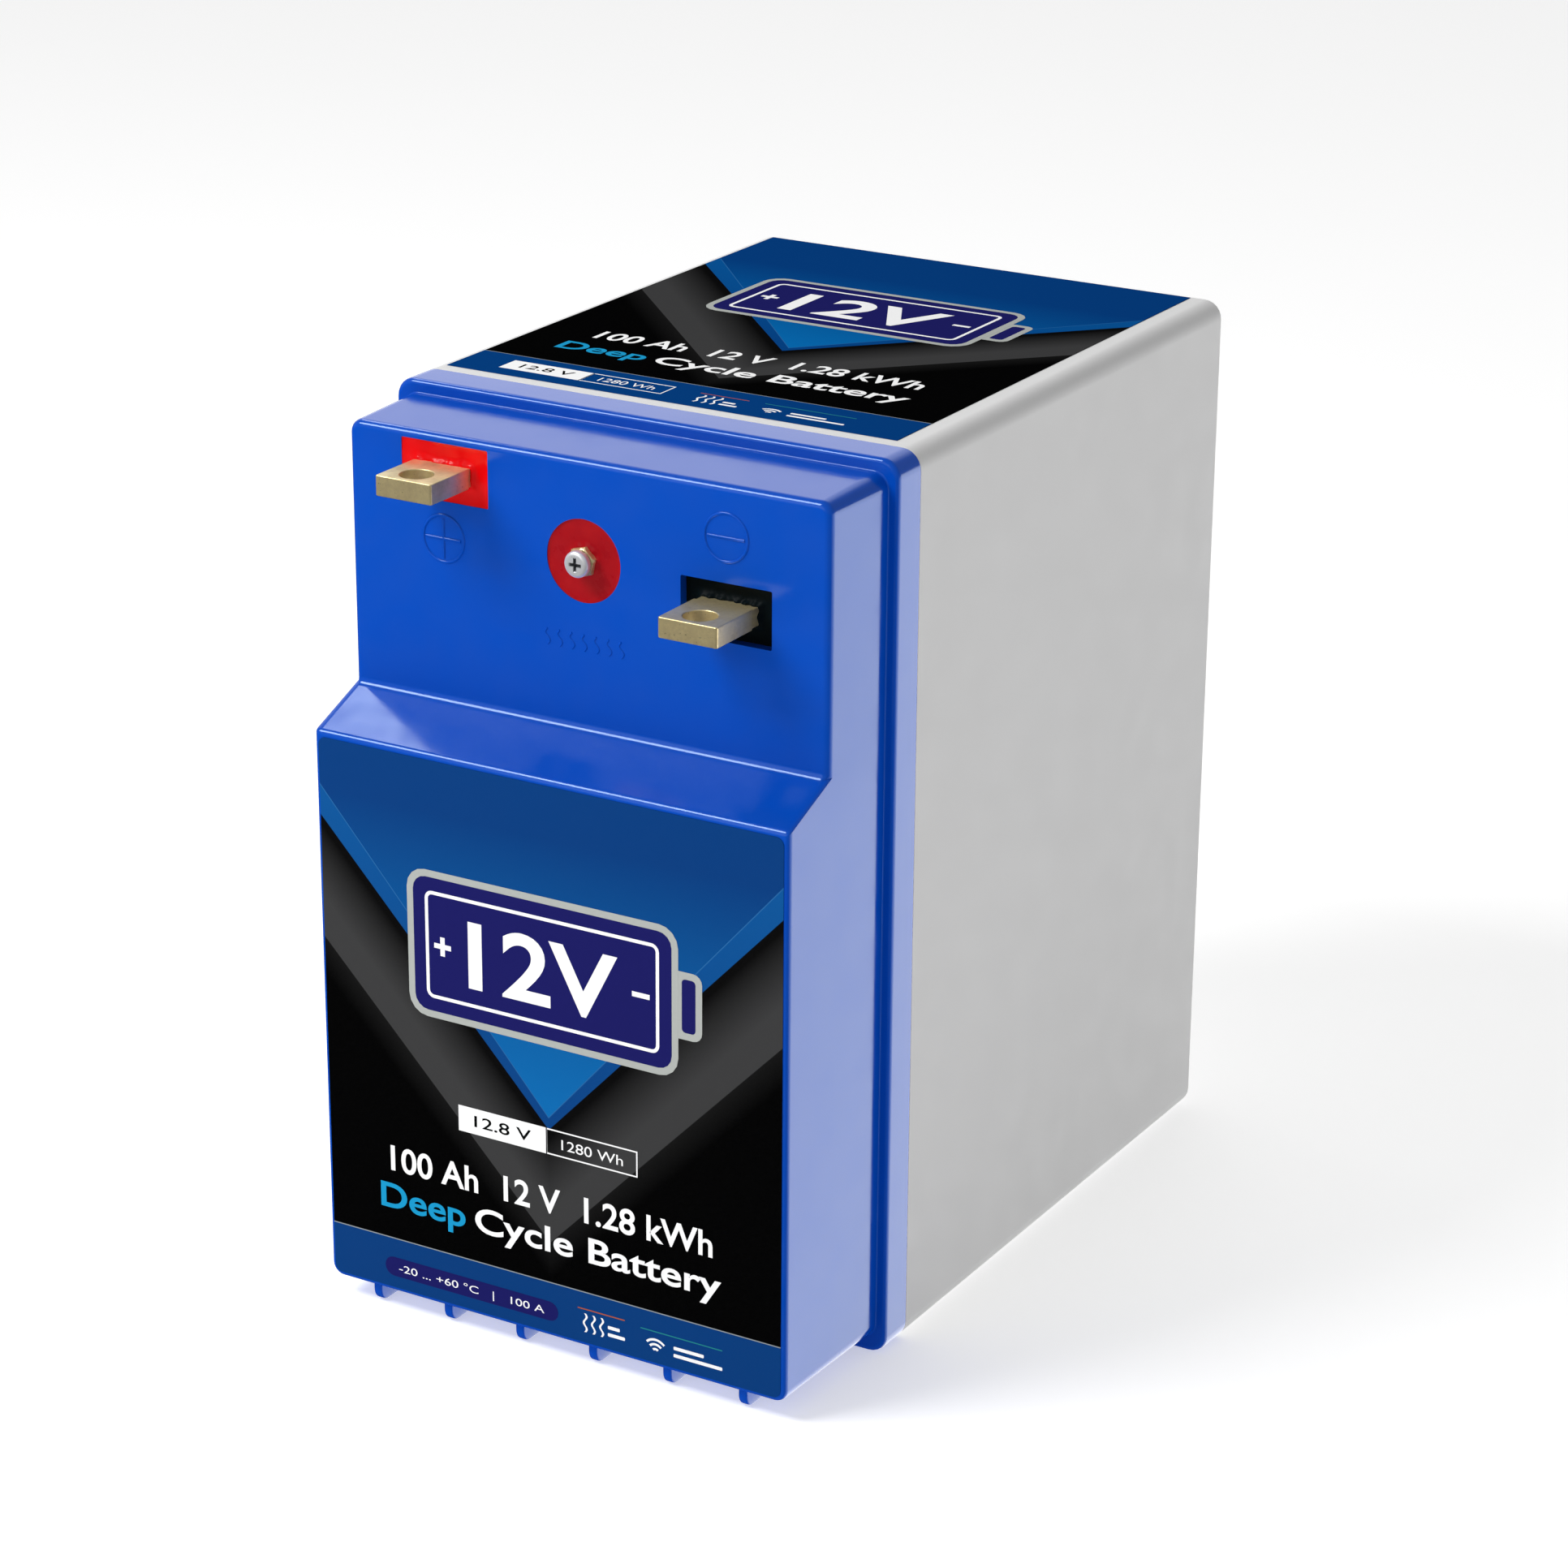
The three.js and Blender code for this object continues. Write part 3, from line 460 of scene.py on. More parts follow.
def poured_resin(name, color, deep_color, roughness=0.16, gloss=0.14):
    """Glossy resin, darker where it pooled, with a few small bubbles."""
    shader = Shader(name)
    pooled = shader.noise(130.0, 3.0, 0.6)
    bubbles = shader.node("ShaderNodeTexVoronoi", {"Vector": shader.place, "Scale": 420.0})
    pits = shader.ramp(bubbles.outputs["Distance"], 0.0, 0.16, 0.0, 1.0)
    waves = shader.bump(shader.noise(260.0, 3.0), 0.35, 0.25 * MM)
    shader.set(
        Base_Color=shader.mix(pooled, deep_color + (1.0,), color + (1.0,)),
        Roughness=shader.ramp(pooled, 0.3, 0.7, roughness, roughness + 0.14),
        Normal=shader.bump(pits, 0.25, 0.08 * MM, waves),
        Specular_IOR_Level=gloss,
    )
    return shader.material


# ---- Lid ----

SMALLEST_CORNER = 0.6
CLOSE = 0.001


def body_ring(grow, stops):
    """The body's outline, grown or shrunk all round."""
    return rounded_ring(
        -BODY_HALF_WIDTH - grow,
        BODY_HALF_WIDTH + grow,
        BODY_LOW - grow,
        BODY_HIGH + grow,
        max(BODY_CORNER + grow, SMALLEST_CORNER),
        side_stops=stops,
    )


def lid_skin(inset, flange_inset, back_y):
    """The lid's closed outline: a flange, and a drafted, stepped body in front, all pulled in by an inset."""
    slope = (TERMINAL_FACE_Y - HUMP_FACE_Y) / (STEP_TOP - STEP_BOTTOM)
    drop = inset * (math.hypot(1, slope) - slope) / slope
    stops = (STEP_BOTTOM - drop, STEP_TOP - drop)

    def front(z):
        return TERMINAL_FACE_Y + inset if z > stops[1] - CLOSE else HUMP_FACE_Y + inset

    flange = rounded_ring(
        -HALF_WIDTH + flange_inset,
        HALF_WIDTH - flange_inset,
        flange_inset,
        HEIGHT - flange_inset,
        max(CASE_CORNER - flange_inset, 1.5),
        side_stops=stops,
    )
    root = body_ring(DRAFT - inset, stops)
    body = body_ring(-inset, stops)
    flange_y = FLANGE_FRONT_Y + inset
    rings = [
        [(x, back_y, z) for x, z in flange],
        [(x, flange_y, z) for x, z in flange],
        [(x, flange_y, z) for x, z in root],
        [(x, front(z), z) for x, z in body],
    ]
    count = len(body)
    points = [point for ring in rings for point in ring]
    faces = [tuple(range(count))]
    for row in range(len(rings) - 1):
        faces += band(row * count, (row + 1) * count, count)
    front_start = (len(rings) - 1) * count
    upper = [i for i in range(count) if body[i][1] > stops[1] - CLOSE]
    lower = [i for i in range(count) if body[i][1] < stops[0] + CLOSE]
    split = next(k for k, i in enumerate(lower) if k and i != lower[k - 1] + 1)
    lower = lower[split:] + lower[:split]
    faces.append(tuple(front_start + i for i in upper))
    faces.append(tuple(front_start + i for i in lower))
    faces.append(tuple(front_start + i for i in (lower[-1], upper[0], upper[-1], lower[0])))
    return solid_from(points, faces)


def edge_rounding(edge):
    """How far one of the lid's edges is rounded, in millimetres."""
    ends = [vertex.co / MM for vertex in edge.verts]
    ys = sorted(end.y for end in ends)
    if ys[0] > PARTING_Y - 0.01:
        return SEAM
    if ys[0] > FLANGE_FRONT_Y - 0.01:
        on_rim = any(
            abs(end.x) > BODY_HALF_WIDTH + DRAFT + 0.05
            or end.z > BODY_HIGH + DRAFT + 0.05
            or end.z < BODY_LOW - DRAFT - 0.05
            for end in ends
        )
        return FLANGE_ARRIS if on_rim else ROOT_FILLET
    if ys[1] < HUMP_FACE_Y + 0.01:
        return HUMP_ARRIS
    if ys[0] > TERMINAL_FACE_Y - 0.01:
        return STEP_FILLET if max(end.z for end in ends) < STEP_TOP + 0.01 else FACE_ARRIS
    return FACE_ARRIS


SHARPEST_FLAT_ANGLE = 18


def rounded_lid_skin():
    """The lid's outer skin with every edge rounded by its own amount."""
    work = bmesh_from(lid_skin(0, 0, PARTING_Y))
    weights = work.edges.layers.float.new("bevel_weight_edge")
    for edge in work.edges:
        start, end = (vertex.co for vertex in edge.verts)
        runs_along_y = abs(start.y - end.y) > 0.01 * MM and abs(start.z - end.z) < 2 * MM
        if not runs_along_y and edge.calc_face_angle(0.0) > math.radians(SHARPEST_FLAT_ANGLE):
            edge[weights] = edge_rounding(edge) / FACE_ARRIS
    piece = temporary(finish_bmesh(work))
    modifier = piece.modifiers.new("rounded", "BEVEL")
    modifier.limit_method = "WEIGHT"
    modifier.width = FACE_ARRIS * MM
    modifier.segments = 5
    mesh = evaluated_mesh(piece)
    bpy.data.objects.remove(piece)
    return mesh


def window_ring(node, grow, radius):
    low, high = node_box(node)
    return rounded_ring(low[0] - grow, high[0] + grow, low[2] - grow, high[2] + grow, radius, 3)


def case_ring(inset, y):
    """The case's outline at a depth, pulled in by an inset."""
    outline = rounded_ring(
        -HALF_WIDTH + inset, HALF_WIDTH - inset, inset, HEIGHT - inset, max(CASE_CORNER - inset, 1.0)
    )
    return [(x, y, z) for x, z in outline]


def lid_groove(open_y):
    """The space for the case's lip, left open behind."""
    floor_y = PARTING_Y - GROOVE_DEPTH
    section = [(GROOVE_OUTER, floor_y), (GROOVE_OUTER, open_y)]
    section += [(GROOVE_INNER, open_y), (GROOVE_INNER, floor_y)]
    return hollow([case_ring(inset, y) for inset, y in section])


def make_lid(material):
    """The hollow lid with its windows, each with a cup behind it that holds the resin."""
    open_y = PARTING_Y + 5
    outside = rounded_lid_skin()
    inside = lid_skin(LID_WALL, LID_CAVITY_INSET, open_y)
    shell = combined(combined(outside, inside, "DIFFERENCE"), lid_groove(open_y), "DIFFERENCE")

    resins = ("positive_potting", "negative_potting")
    windows = [window_ring(node, WINDOW_GAP, WINDOW_CORNER) for node in resins]
    windows.append(circle(DISC_X, DISC_Z, DISC_RADIUS))
    cups = [window_ring(node, CUP_WALL, CUP_CORNER) for node in resins]
    cups.append(circle(DISC_X, DISC_Z, DISC_RADIUS + CUP_WALL))
    cup_block = merged([prism(ring, CUP_FRONT_Y, CUP_BACK_Y) for ring in cups])
    opening = merged([prism(ring, TERMINAL_FACE_Y - 5, CUP_BACK_Y + 1) for ring in windows])
    whole = combined(combined(shell, cup_block, "UNION"), opening, "DIFFERENCE")
    show("lid_shell", whole, material, replaces=["lid"], weighted=True)


RIB_COUNT = 6
RIB_PITCH = 26.2
RIB_THICKNESS = 3.0
RIB_EDGE = 0.6
RIB_NOSE_RADIUS = 4.0


def make_ribs(material):
    """The moulded ribs that bring the lid's underside level with the case."""
    nose = HUMP_FACE_Y + 2.0
    top = BODY_LOW + 0.6
    back = FLANGE_FRONT_Y + 0.6
    outline = [(back, top), (back, 0.0)]
    outline += list(reversed(arc(nose + RIB_NOSE_RADIUS, RIB_NOSE_RADIUS, RIB_NOSE_RADIUS, 180, 270, 8)))
    outline.append((nose, top))
    for i in range(RIB_COUNT):
        x = (i - (RIB_COUNT - 1) / 2) * RIB_PITCH
        mesh = flat_shape([outline], RIB_THICKNESS, bevel=RIB_EDGE)
        mesh.transform(Matrix(((0, 0, 1, x * MM), (1, 0, 0, 0), (0, 1, 0, 0), (0, 0, 0, 1))))
        show(f"lid_rib_{i + 1}", mesh, material)


BEAD = 0.5
SIGN_RADIUS = 7.1
SIGN_BAR = 6.0
WAVE_COUNT = 7
WAVE_PITCH = 4.2
WAVE_SWING = 0.8
WAVE_STEPS = 12


def relief_line(points, radius, closed=False):
    """A round bead along points (x, z) on the terminal face, a little more than half sunk into it."""
    curve = bpy.data.curves.new("bead", "CURVE")
    curve.dimensions = "3D"
    curve.bevel_depth = radius * MM
    curve.bevel_resolution = 4
    curve.use_fill_caps = True
    spline = curve.splines.new("POLY")
    spline.points.add(len(points) - 1)
    for point, (x, z) in zip(spline.points, points):
        point.co = (x * MM, (TERMINAL_FACE_Y + radius * 0.25) * MM, z * MM, 1)
    spline.use_cyclic_u = closed
    return built(curve)


def ringed_sign(x, z, bars):
    """A ring round straight bars, each given by how far it reaches along X and Z."""
    lines = [relief_line(circle(x, z, SIGN_RADIUS, 48), BEAD, closed=True)]
    for reach_x, reach_z in bars:
        lines.append(relief_line([(x - reach_x, z - reach_z), (x + reach_x, z + reach_z)], BEAD))
    return merged(lines)


def heat_waves():
    """A row of short upright waves under the screw."""
    waves = []
    for i in range(WAVE_COUNT):
        x = DISC_X + WAVE_PITCH * (i - WAVE_COUNT // 2)
        column = []
        for step in range(WAVE_STEPS + 1):
            swing = WAVE_SWING * math.sin(step * math.pi / 6)
            column.append((x + swing, DISC_Z - 27 + 0.4 * step))
        waves.append(relief_line(column, BEAD * 0.7))
    return merged(waves)


def make_signs(material):
    """Moulded signs: a ringed plus, a ringed minus, and the heat waves."""
    x, z = middle_of("positive_terminal")
    plus = ringed_sign(x - 0.8, z - 20, [(SIGN_BAR, 0), (0, SIGN_BAR)])
    x, z = middle_of("negative_terminal")
    minus = ringed_sign(x, z + 22, [(SIGN_BAR, 0)])
    for name, mesh in (("plus_sign", plus), ("minus_sign", minus), ("heat_sign", heat_waves())):
        show(name, mesh, material, smooth_angle=60)


# ---- Case ----


def make_case(material):
    """An open box with a rounded back, and a lip round its mouth that enters the lid's groove."""
    back = CASE_END_Y
    lip_y = PARTING_Y - LIP_LENGTH
    section = arc(CASE_BACK_ROUND, back - CASE_BACK_ROUND, CASE_BACK_ROUND, 90, 180, 5)
    section += [(0, PARTING_Y + SEAM), (SEAM * 0.3, PARTING_Y + SEAM * 0.3), (SEAM, PARTING_Y)]
    section += [(LIP_OUTER, PARTING_Y), (LIP_OUTER, lip_y), (LIP_INNER, lip_y), (LIP_INNER, PARTING_Y)]
    section += [(CASE_WALL, PARTING_Y), (CASE_WALL, back - CASE_WALL)]
    mesh = sweep([case_ring(inset, y) for inset, y in section])
    show("case_shell", mesh, material, replaces=["case"], weighted=True)


# ---- Terminals and resin ----


TAB_SHOULDER_Y = PARTING_Y - 44.6
TAB_NARROWING = 0.4
TAB_HOLE_RADIUS = 5.0
TAB_HOLE_SETBACK = 7.0
LUG_BOLT_Y = PARTING_Y - 22.0
LUG_HOLE_RADIUS = 3.3


def make_tab(name, node, material):
    """A brass tab with softened edges and a round bolt hole, narrower and thinner behind its shoulder."""
    low, high = node_box(node)
    middle_x, middle_z = middle_of(node)
    blade = [
        rounded_ring(low[0], high[0], low[1], TAB_SHOULDER_Y, 0.7, 3),
        circle(middle_x, low[1] + TAB_HOLE_SETBACK, TAB_HOLE_RADIUS),
    ]
    root = [
        rounded_ring(low[0] + TAB_NARROWING, high[0] - TAB_NARROWING, TAB_SHOULDER_Y - 1, high[1], 0.3, 2),
        circle(middle_x, LUG_BOLT_Y, LUG_HOLE_RADIUS, 24),
    ]
    thickness = high[2] - low[2]
    outer = flat_shape(blade, thickness, bevel=0.35, bevel_steps=3)
    inner = flat_shape(root, thickness - 2 * TAB_NARROWING)
    mesh = combined(outer, inner, "UNION")
    mesh.transform(Matrix.Translation((0, 0, middle_z * MM)))
    show(name, mesh, material, replaces=[node], smooth_angle=30, weighted=True)


def make_window_resin(name, node, tab_node, material, climb):
    """Resin poured into a window: level in the open, drawn up at the walls and up the brass."""
    low, high = node_box(node)
    tab_low, tab_high = node_box(tab_node)
    columns, rows = 72, 44
    spread = 0.13
    x0, x1 = low[0] - spread, high[0] + spread
    z0, z1 = low[2] - spread, high[2] + spread

    def surface(x, z):
        wall = min(x - x0, x1 - x, z - z0, z1 - z)
        away_x = max(tab_low[0] - x, x - tab_high[0], 0.0)
        away_z = max(tab_low[2] - z, z - tab_high[2], 0.0)
        away = math.hypot(away_x, away_z)
        ragged = noise.noise(Vector((x * 0.55, z * 0.55, 3.0)))
        fine = noise.noise(Vector((x * 0.16, z * 0.16, 9.0)))
        rise = 0.25 * math.exp(-wall / 0.8) + climb * (1 + 0.9 * ragged) * math.exp(-away / 0.85)
        return low[1] - rise - 0.18 * fine

    points = []
    for j in range(rows + 1):
        for i in range(columns + 1):
            x = x0 + (x1 - x0) * i / columns
            z = z0 + (z1 - z0) * j / rows
            points.append((x, surface(x, z), z))
    faces = []
    across = columns + 1
    for j in range(rows):
        for i in range(columns):
            k = j * across + i
            faces.append((k, k + 1, k + across + 1, k + across))
    work = bmesh_from(mesh_from(points, faces))
    rim = [edge for edge in work.edges if edge.is_boundary]
    grown = bmesh.ops.extrude_edge_only(work, edges=rim)["geom"]
    for element in grown:
        if isinstance(element, bmesh.types.BMVert):
            element.co.y = high[1] * MM
    rim = [edge for edge in work.edges if edge.is_boundary]
    bmesh.ops.contextual_create(work, geom=rim)
    block = finish_bmesh(work)
    sunk = 0.45
    tab_slot = prism(
        rounded_ring(tab_low[0] + sunk, tab_high[0] - sunk, tab_low[2] + sunk, tab_high[2] - sunk, 0.2, 2),
        low[1] - 6,
        high[1] + 3,
    )
    mesh = combined(block, tab_slot, "DIFFERENCE")
    show(name, mesh, material, replaces=[node], smooth_angle=60)


def make_disc_resin(material):
    """The round pad of resin round the contact, drawn up at its rim and at the brass."""
    inner = 3.9
    outer = DISC_RADIUS - 0.02
    ring_count, steps = 16, 72
    angles = [2 * math.pi * i / steps for i in range(steps)]

    def poured_point(radius, angle):
        x, front, z = disc_point(radius, DISC_LOW[1], angle)
        ragged = noise.noise(Vector((x * 0.5, z * 0.5, 21.0)))
        rise = 0.3 * math.exp(-(outer - radius) / 0.7)
        rise += (0.55 + 0.5 * ragged) * math.exp(-max(radius - 4.6, 0) / 0.9)
        rise += 0.22 * noise.noise(Vector((x * 0.13, z * 0.13, 5.0)))
        return x, front - rise, z

    rings = []
    for k in range(ring_count + 1):
        radius = inner + (outer - inner) * k / ring_count
        rings.append([poured_point(radius, angle) for angle in angles])
    for radius in (outer, inner):
        rings.append([disc_point(radius, DISC_HIGH[1], angle) for angle in angles])
    mesh = hollow(rings)
    show("heat_enable_resin", mesh, material, replaces=["heat_enable_disc"], smooth_angle=50)


# ---- Heat-enable screw ----


CONTACT_BORE = 2.15
CONTACT_MOUTH = 2.6


def make_contact(material):
    """The hexagonal brass contact with chamfered corners and a countersunk bore."""
    low, high = node_box("heat_enable_contact")
    front, back = low[1], high[1]
    apothem = (high[0] - low[0]) / 2
    corner = apothem / math.cos(math.pi / 6)
    turn = math.radians(15)
    steps = 72
    angles = [2 * math.pi * i / steps + turn for i in range(steps)]

    def bore(radius, y):
        return [disc_point(radius, y, angle) for angle in angles]

    def hexagon(y, round_at=math.inf):
        ring = []
        for angle in angles:
            sector = (angle - turn) % (math.pi / 3) - math.pi / 6
            reach = min(corner * math.cos(math.pi / 6) / math.cos(sector), round_at)
            ring.append(disc_point(reach, y, angle))
        return ring

    rings = [bore(CONTACT_BORE, back), bore(CONTACT_BORE, front + 0.5), bore(CONTACT_MOUTH, front)]
    rings += [hexagon(front, apothem * 0.97), hexagon(front + 0.25, apothem * 1.05)]
    rings += [hexagon(front + 0.7), hexagon(back)]
    mesh = hollow(rings)
    show("heat_enable_contact_hex", mesh, material, replaces=["heat_enable_contact"])


WASHER_BORE = 2.2
WASHER_GAP = math.radians(14)
WASHER_SPRING = 0.06


def make_washer(material):
    """A split lock washer, its two ends slightly apart."""
    low, high = node_box("heat_enable_washer")
    inner, outer = WASHER_BORE, (high[0] - low[0]) / 2
    front, back = low[1] + WASHER_SPRING, high[1] - WASHER_SPRING
    section = [(inner, front), (outer, front), (outer, back), (inner, back)]
    steps = 60
    rings = []
    for i in range(steps + 1):
        share = i / steps
        angle = math.radians(70) + WASHER_GAP / 2 + (2 * math.pi - WASHER_GAP) * share
        lift = WASHER_SPRING * (share - 0.5)
        rings.append([disc_point(radius, y + lift, angle) for radius, y in section])
    mesh = sweep(rings)
    show("lock_washer", mesh, material, body="screw_washer", replaces=["heat_enable_washer"])


THREAD_PITCH = 0.7
THREAD_DEPTH = 0.36
SHANK_RADIUS = 1.93
HEAD_THICKNESS = 2.2
HEAD_RIM = 0.95
HEAD_SHOULDER = 1.35
RECESS_REACH = 2.3
# Painted shade: the dark colour laid over the plating inside the driver recess.
RECESS_SHADE = (0.10, 0.11, 0.12, 1)


def cut_cross_recess(head, front_y):
    """Cuts two crossing slots, narrower and shorter towards their floor, into the screw's head."""
    levels = ((front_y - 0.4, RECESS_REACH + 0.2, 0.62), (front_y + 1.4, 1.1, 0.34))
    for axis in (Vector((1, 0)), Vector((0, 1))):
        across = Vector((-axis.y, axis.x))
        rings = []
        for y, reach, half in levels:
            corners = [axis * a * reach + across * b * half for a, b in ((-1, -1), (1, -1), (1, 1), (-1, 1))]
            rings.append([(DISC_X + corner.x, y, DISC_Z + corner.y) for corner in corners])
        head = combined(head, sweep(rings), "DIFFERENCE")
    return head


def screw_zinc(front_y):
    """Zinc plate, with painted shade darkening the inside of the driver recess."""
    shader = Shader("screw_zinc")
    split = shader.node("ShaderNodeSeparateXYZ", {0: shader.place})
    across = shader.math("SUBTRACT", split.outputs[0], DISC_X * MM)
    up = shader.math("SUBTRACT", split.outputs[2], DISC_Z * MM)
    squares = [shader.math("POWER", offset, 2) for offset in (across, up)]
    radius = shader.math("SQRT", shader.math("ADD", *squares))
    near = shader.ramp(radius, RECESS_REACH * MM, (RECESS_REACH + 0.3) * MM, 1.0, 0.0)
    inside = shader.ramp(split.outputs[1], (front_y + 0.12) * MM, (front_y + 0.5) * MM, 0.0, 1.0)
    in_head = shader.ramp(split.outputs[1], (front_y + 1.7) * MM, (front_y + 1.8) * MM, 1.0, 0.0)
    # Painted shade: this mask is one inside the cross recess, where the plating is darkened to stand in for
    # shade.
    recess_shade = shader.math("MULTIPLY", shader.math("MULTIPLY", near, inside), in_head)
    plating = mottled(shader, (0.88, 0.90, 0.92), METAL_DRIFT_SCALE, METAL_DRIFT)
    give_plating(shader, shader.mix(recess_shade, plating, RECESS_SHADE), roughness=0.32, metallic=0.6)
    return shader.material


def screw_head(front, seat, radius):
    """A pan head: a straight rim under a rounded crown."""
    rim_y = seat - HEAD_RIM
    profile = [(0.0, seat), (radius - 0.12, seat), (radius, seat - 0.12), (radius, rim_y)]
    for i in range(1, 9):
        angle = math.radians(90 * i / 8)
        crown_y = rim_y - (HEAD_THICKNESS - HEAD_RIM - 0.05) * math.sin(angle)
        profile.append((radius - HEAD_SHOULDER * (1 - math.cos(angle)), crown_y))
    profile.append((0.0, front))
    return cut_cross_recess(spun(profile, 64), front)


def screw_shank(seat, tip):
    """A rolled thread that starts inside the head and tapers at the tip."""
    start = seat - 0.3
    steps = 28
    rows = int((tip - seat) / THREAD_PITCH * 8)
    rings = []
    for row in range(rows + 1):
        y = start + (tip - seat + 0.3) * row / rows
        taper = min(1.0, (tip - y) / 0.8 + 0.55)
        ring = []
        for i in range(steps):
            angle = 2 * math.pi * i / steps
            phase = (y / THREAD_PITCH + angle / (2 * math.pi)) % 1.0
            reach = (SHANK_RADIUS - THREAD_DEPTH * abs(2 * phase - 1)) * taper
            ring.append(disc_point(reach, y, angle))
        rings.append(ring)
    return sweep(rings)


def make_screw():
    """A pan-head screw with a cross recess and a real rolled thread."""
    low, high = node_box("heat_enable_screw")
    front, tip = low[1], high[1]
    seat = front + HEAD_THICKNESS
    head = screw_head(front, seat, (high[0] - low[0]) / 2)
    mesh = merged([head, screw_shank(seat, tip)])
    material = screw_zinc(front)
    replaces = ["heat_enable_screw"]
    show("pan_head_screw", mesh, material, body="screw", replaces=replaces, smooth_angle=38)


# ---- Labels ----

# Label artwork is laid out in millimetres: u runs from the label's own middle line, and v from the battery's
# lower edge or, on top, from the seam between case and lid.
BLUE_TOP = (0.0012, 0.044, 0.200, 1)
BLUE_LOW = (0.0020, 0.135, 0.410, 1)
BLUE_BAND = (0.0024, 0.085, 0.300, 1)
BLUE_BAND_LOW = (0.0014, 0.052, 0.220, 1)
BLUE_FOOTER = (0.0012, 0.044, 0.195, 1)
STRIPE_GREY = (0.045, 0.045, 0.046, 1)
STRIPE_DIM = (0.010, 0.010, 0.010, 1)
PRINT_BLACK = (0.0008, 0.0008, 0.0009, 1)
HAIRLINE = (0.30, 0.34, 0.36, 1)
FIELD_HAIRLINE = (0.05, 0.22, 0.48, 1)

# The label's V-shaped edges: how far each one's point lies above the blue band's, and how steeply it rises.
FIELD_EDGE = (4.0, 1.125)
BAND_EDGE = (0.0, 1.053)
STRIPE_EDGE = (-37.0, 1.026)
SECOND_STRIPE_EDGE = (-49.0, 1.0)
FOOT_HEIGHT = 24.7


def printed_label(name, middle_x, v_axis, v_zero, apex, gloss):
    """Printed film: a blue field that comes to a point, grey chevrons on black, and a blue foot."""
    shader = Shader(name)
    split = shader.node("ShaderNodeSeparateXYZ", {0: shader.place})
    u = shader.math("ABSOLUTE", shader.math("SUBTRACT", split.outputs[0], middle_x * MM))
    v = shader.math("SUBTRACT", split.outputs[v_axis], v_zero * MM)

    def above(v_edge):
        """How far a place lies above a V-shaped edge, in metres."""
        offset, slope = v_edge
        inputs = {0: u, 1: slope, 2: (apex + offset) * MM}
        line = shader.node("ShaderNodeMath", inputs, operation="MULTIPLY_ADD").outputs[0]
        return shader.math("SUBTRACT", v, line)

    def edge(distance, start=0.0, width=0.12):
        return shader.ramp(distance, (start - width) * MM, (start + width) * MM, 0.0, 1.0)

    def stroke(distance, start, end, width=0.12):
        """A thin line between two distances from an edge."""
        begun = edge(distance, start, width)
        return shader.math("MULTIPLY", begun, shader.math("SUBTRACT", 1.0, edge(distance, end, width)))

    inner = above(FIELD_EDGE)
    outer = above(BAND_EDGE)
    stripe = above(STRIPE_EDGE)
    second = above(SECOND_STRIPE_EDGE)
    height = shader.ramp(v, (apex + 8) * MM, (apex + 92) * MM, 0.0, 1.0)
    field = shader.mix(height, BLUE_LOW, BLUE_TOP)
    blue_band = shader.mix(height, BLUE_BAND_LOW, BLUE_BAND)
    grey_fade = shader.ramp(outer, -26 * MM, -3 * MM, 1.0, 0.05)
    grey = shader.mix(grey_fade, PRINT_BLACK, STRIPE_GREY)
    dim_fade = shader.ramp(stripe, -12 * MM, 0.0, 0.0, 0.75)
    dim = shader.mix(shader.math("MULTIPLY", dim_fade, edge(second)), PRINT_BLACK, STRIPE_DIM)
    color = shader.mix(edge(stripe), dim, grey)
    color = shader.mix(edge(outer), color, blue_band)
    color = shader.mix(edge(inner), color, field)
    color = shader.mix(shader.math("MULTIPLY", stroke(inner, -0.35, 0.1), 0.35), color, FIELD_HAIRLINE)
    foot = shader.math("SUBTRACT", FOOT_HEIGHT * MM, v)
    color = shader.mix(edge(foot), color, BLUE_FOOTER)
    color = shader.mix(stroke(foot, -0.3, 0.0, 0.08), color, HAIRLINE)
    tooth = shader.noise(3000.0, 2.0)
    color = shader.mix(shader.ramp(tooth, 0.35, 0.65, 0.0, 0.006), color, (0.2, 0.2, 0.2, 1))
    film = shader.noise(28.0, 2.0)
    shader.set(
        Base_Color=color,
        Roughness=shader.ramp(shader.noise(70.0, 3.0), 0.3, 0.7, 0.33, 0.42),
        Normal=shader.bump(film, 0.08, 0.3 * MM),
        Specular_IOR_Level=gloss,
    )
    return shader.material


def ink(name, color):
    """Matt printing ink with a slight tooth."""
    shader = Shader(name)
    shader.set(
        Base_Color=mottled(shader, color, 900.0, 0.02),
        Roughness=shader.ramp(shader.noise(400.0, 2.0), 0.3, 0.7, 0.36, 0.44),
        Normal=shader.bump(shader.noise(2600.0, 2.0), 0.1, 0.01 * MM),
        Specular_IOR_Level=0.0,
    )
    return shader.material


INK_THICKNESS = 0.06
INK_LEVEL = 0.02


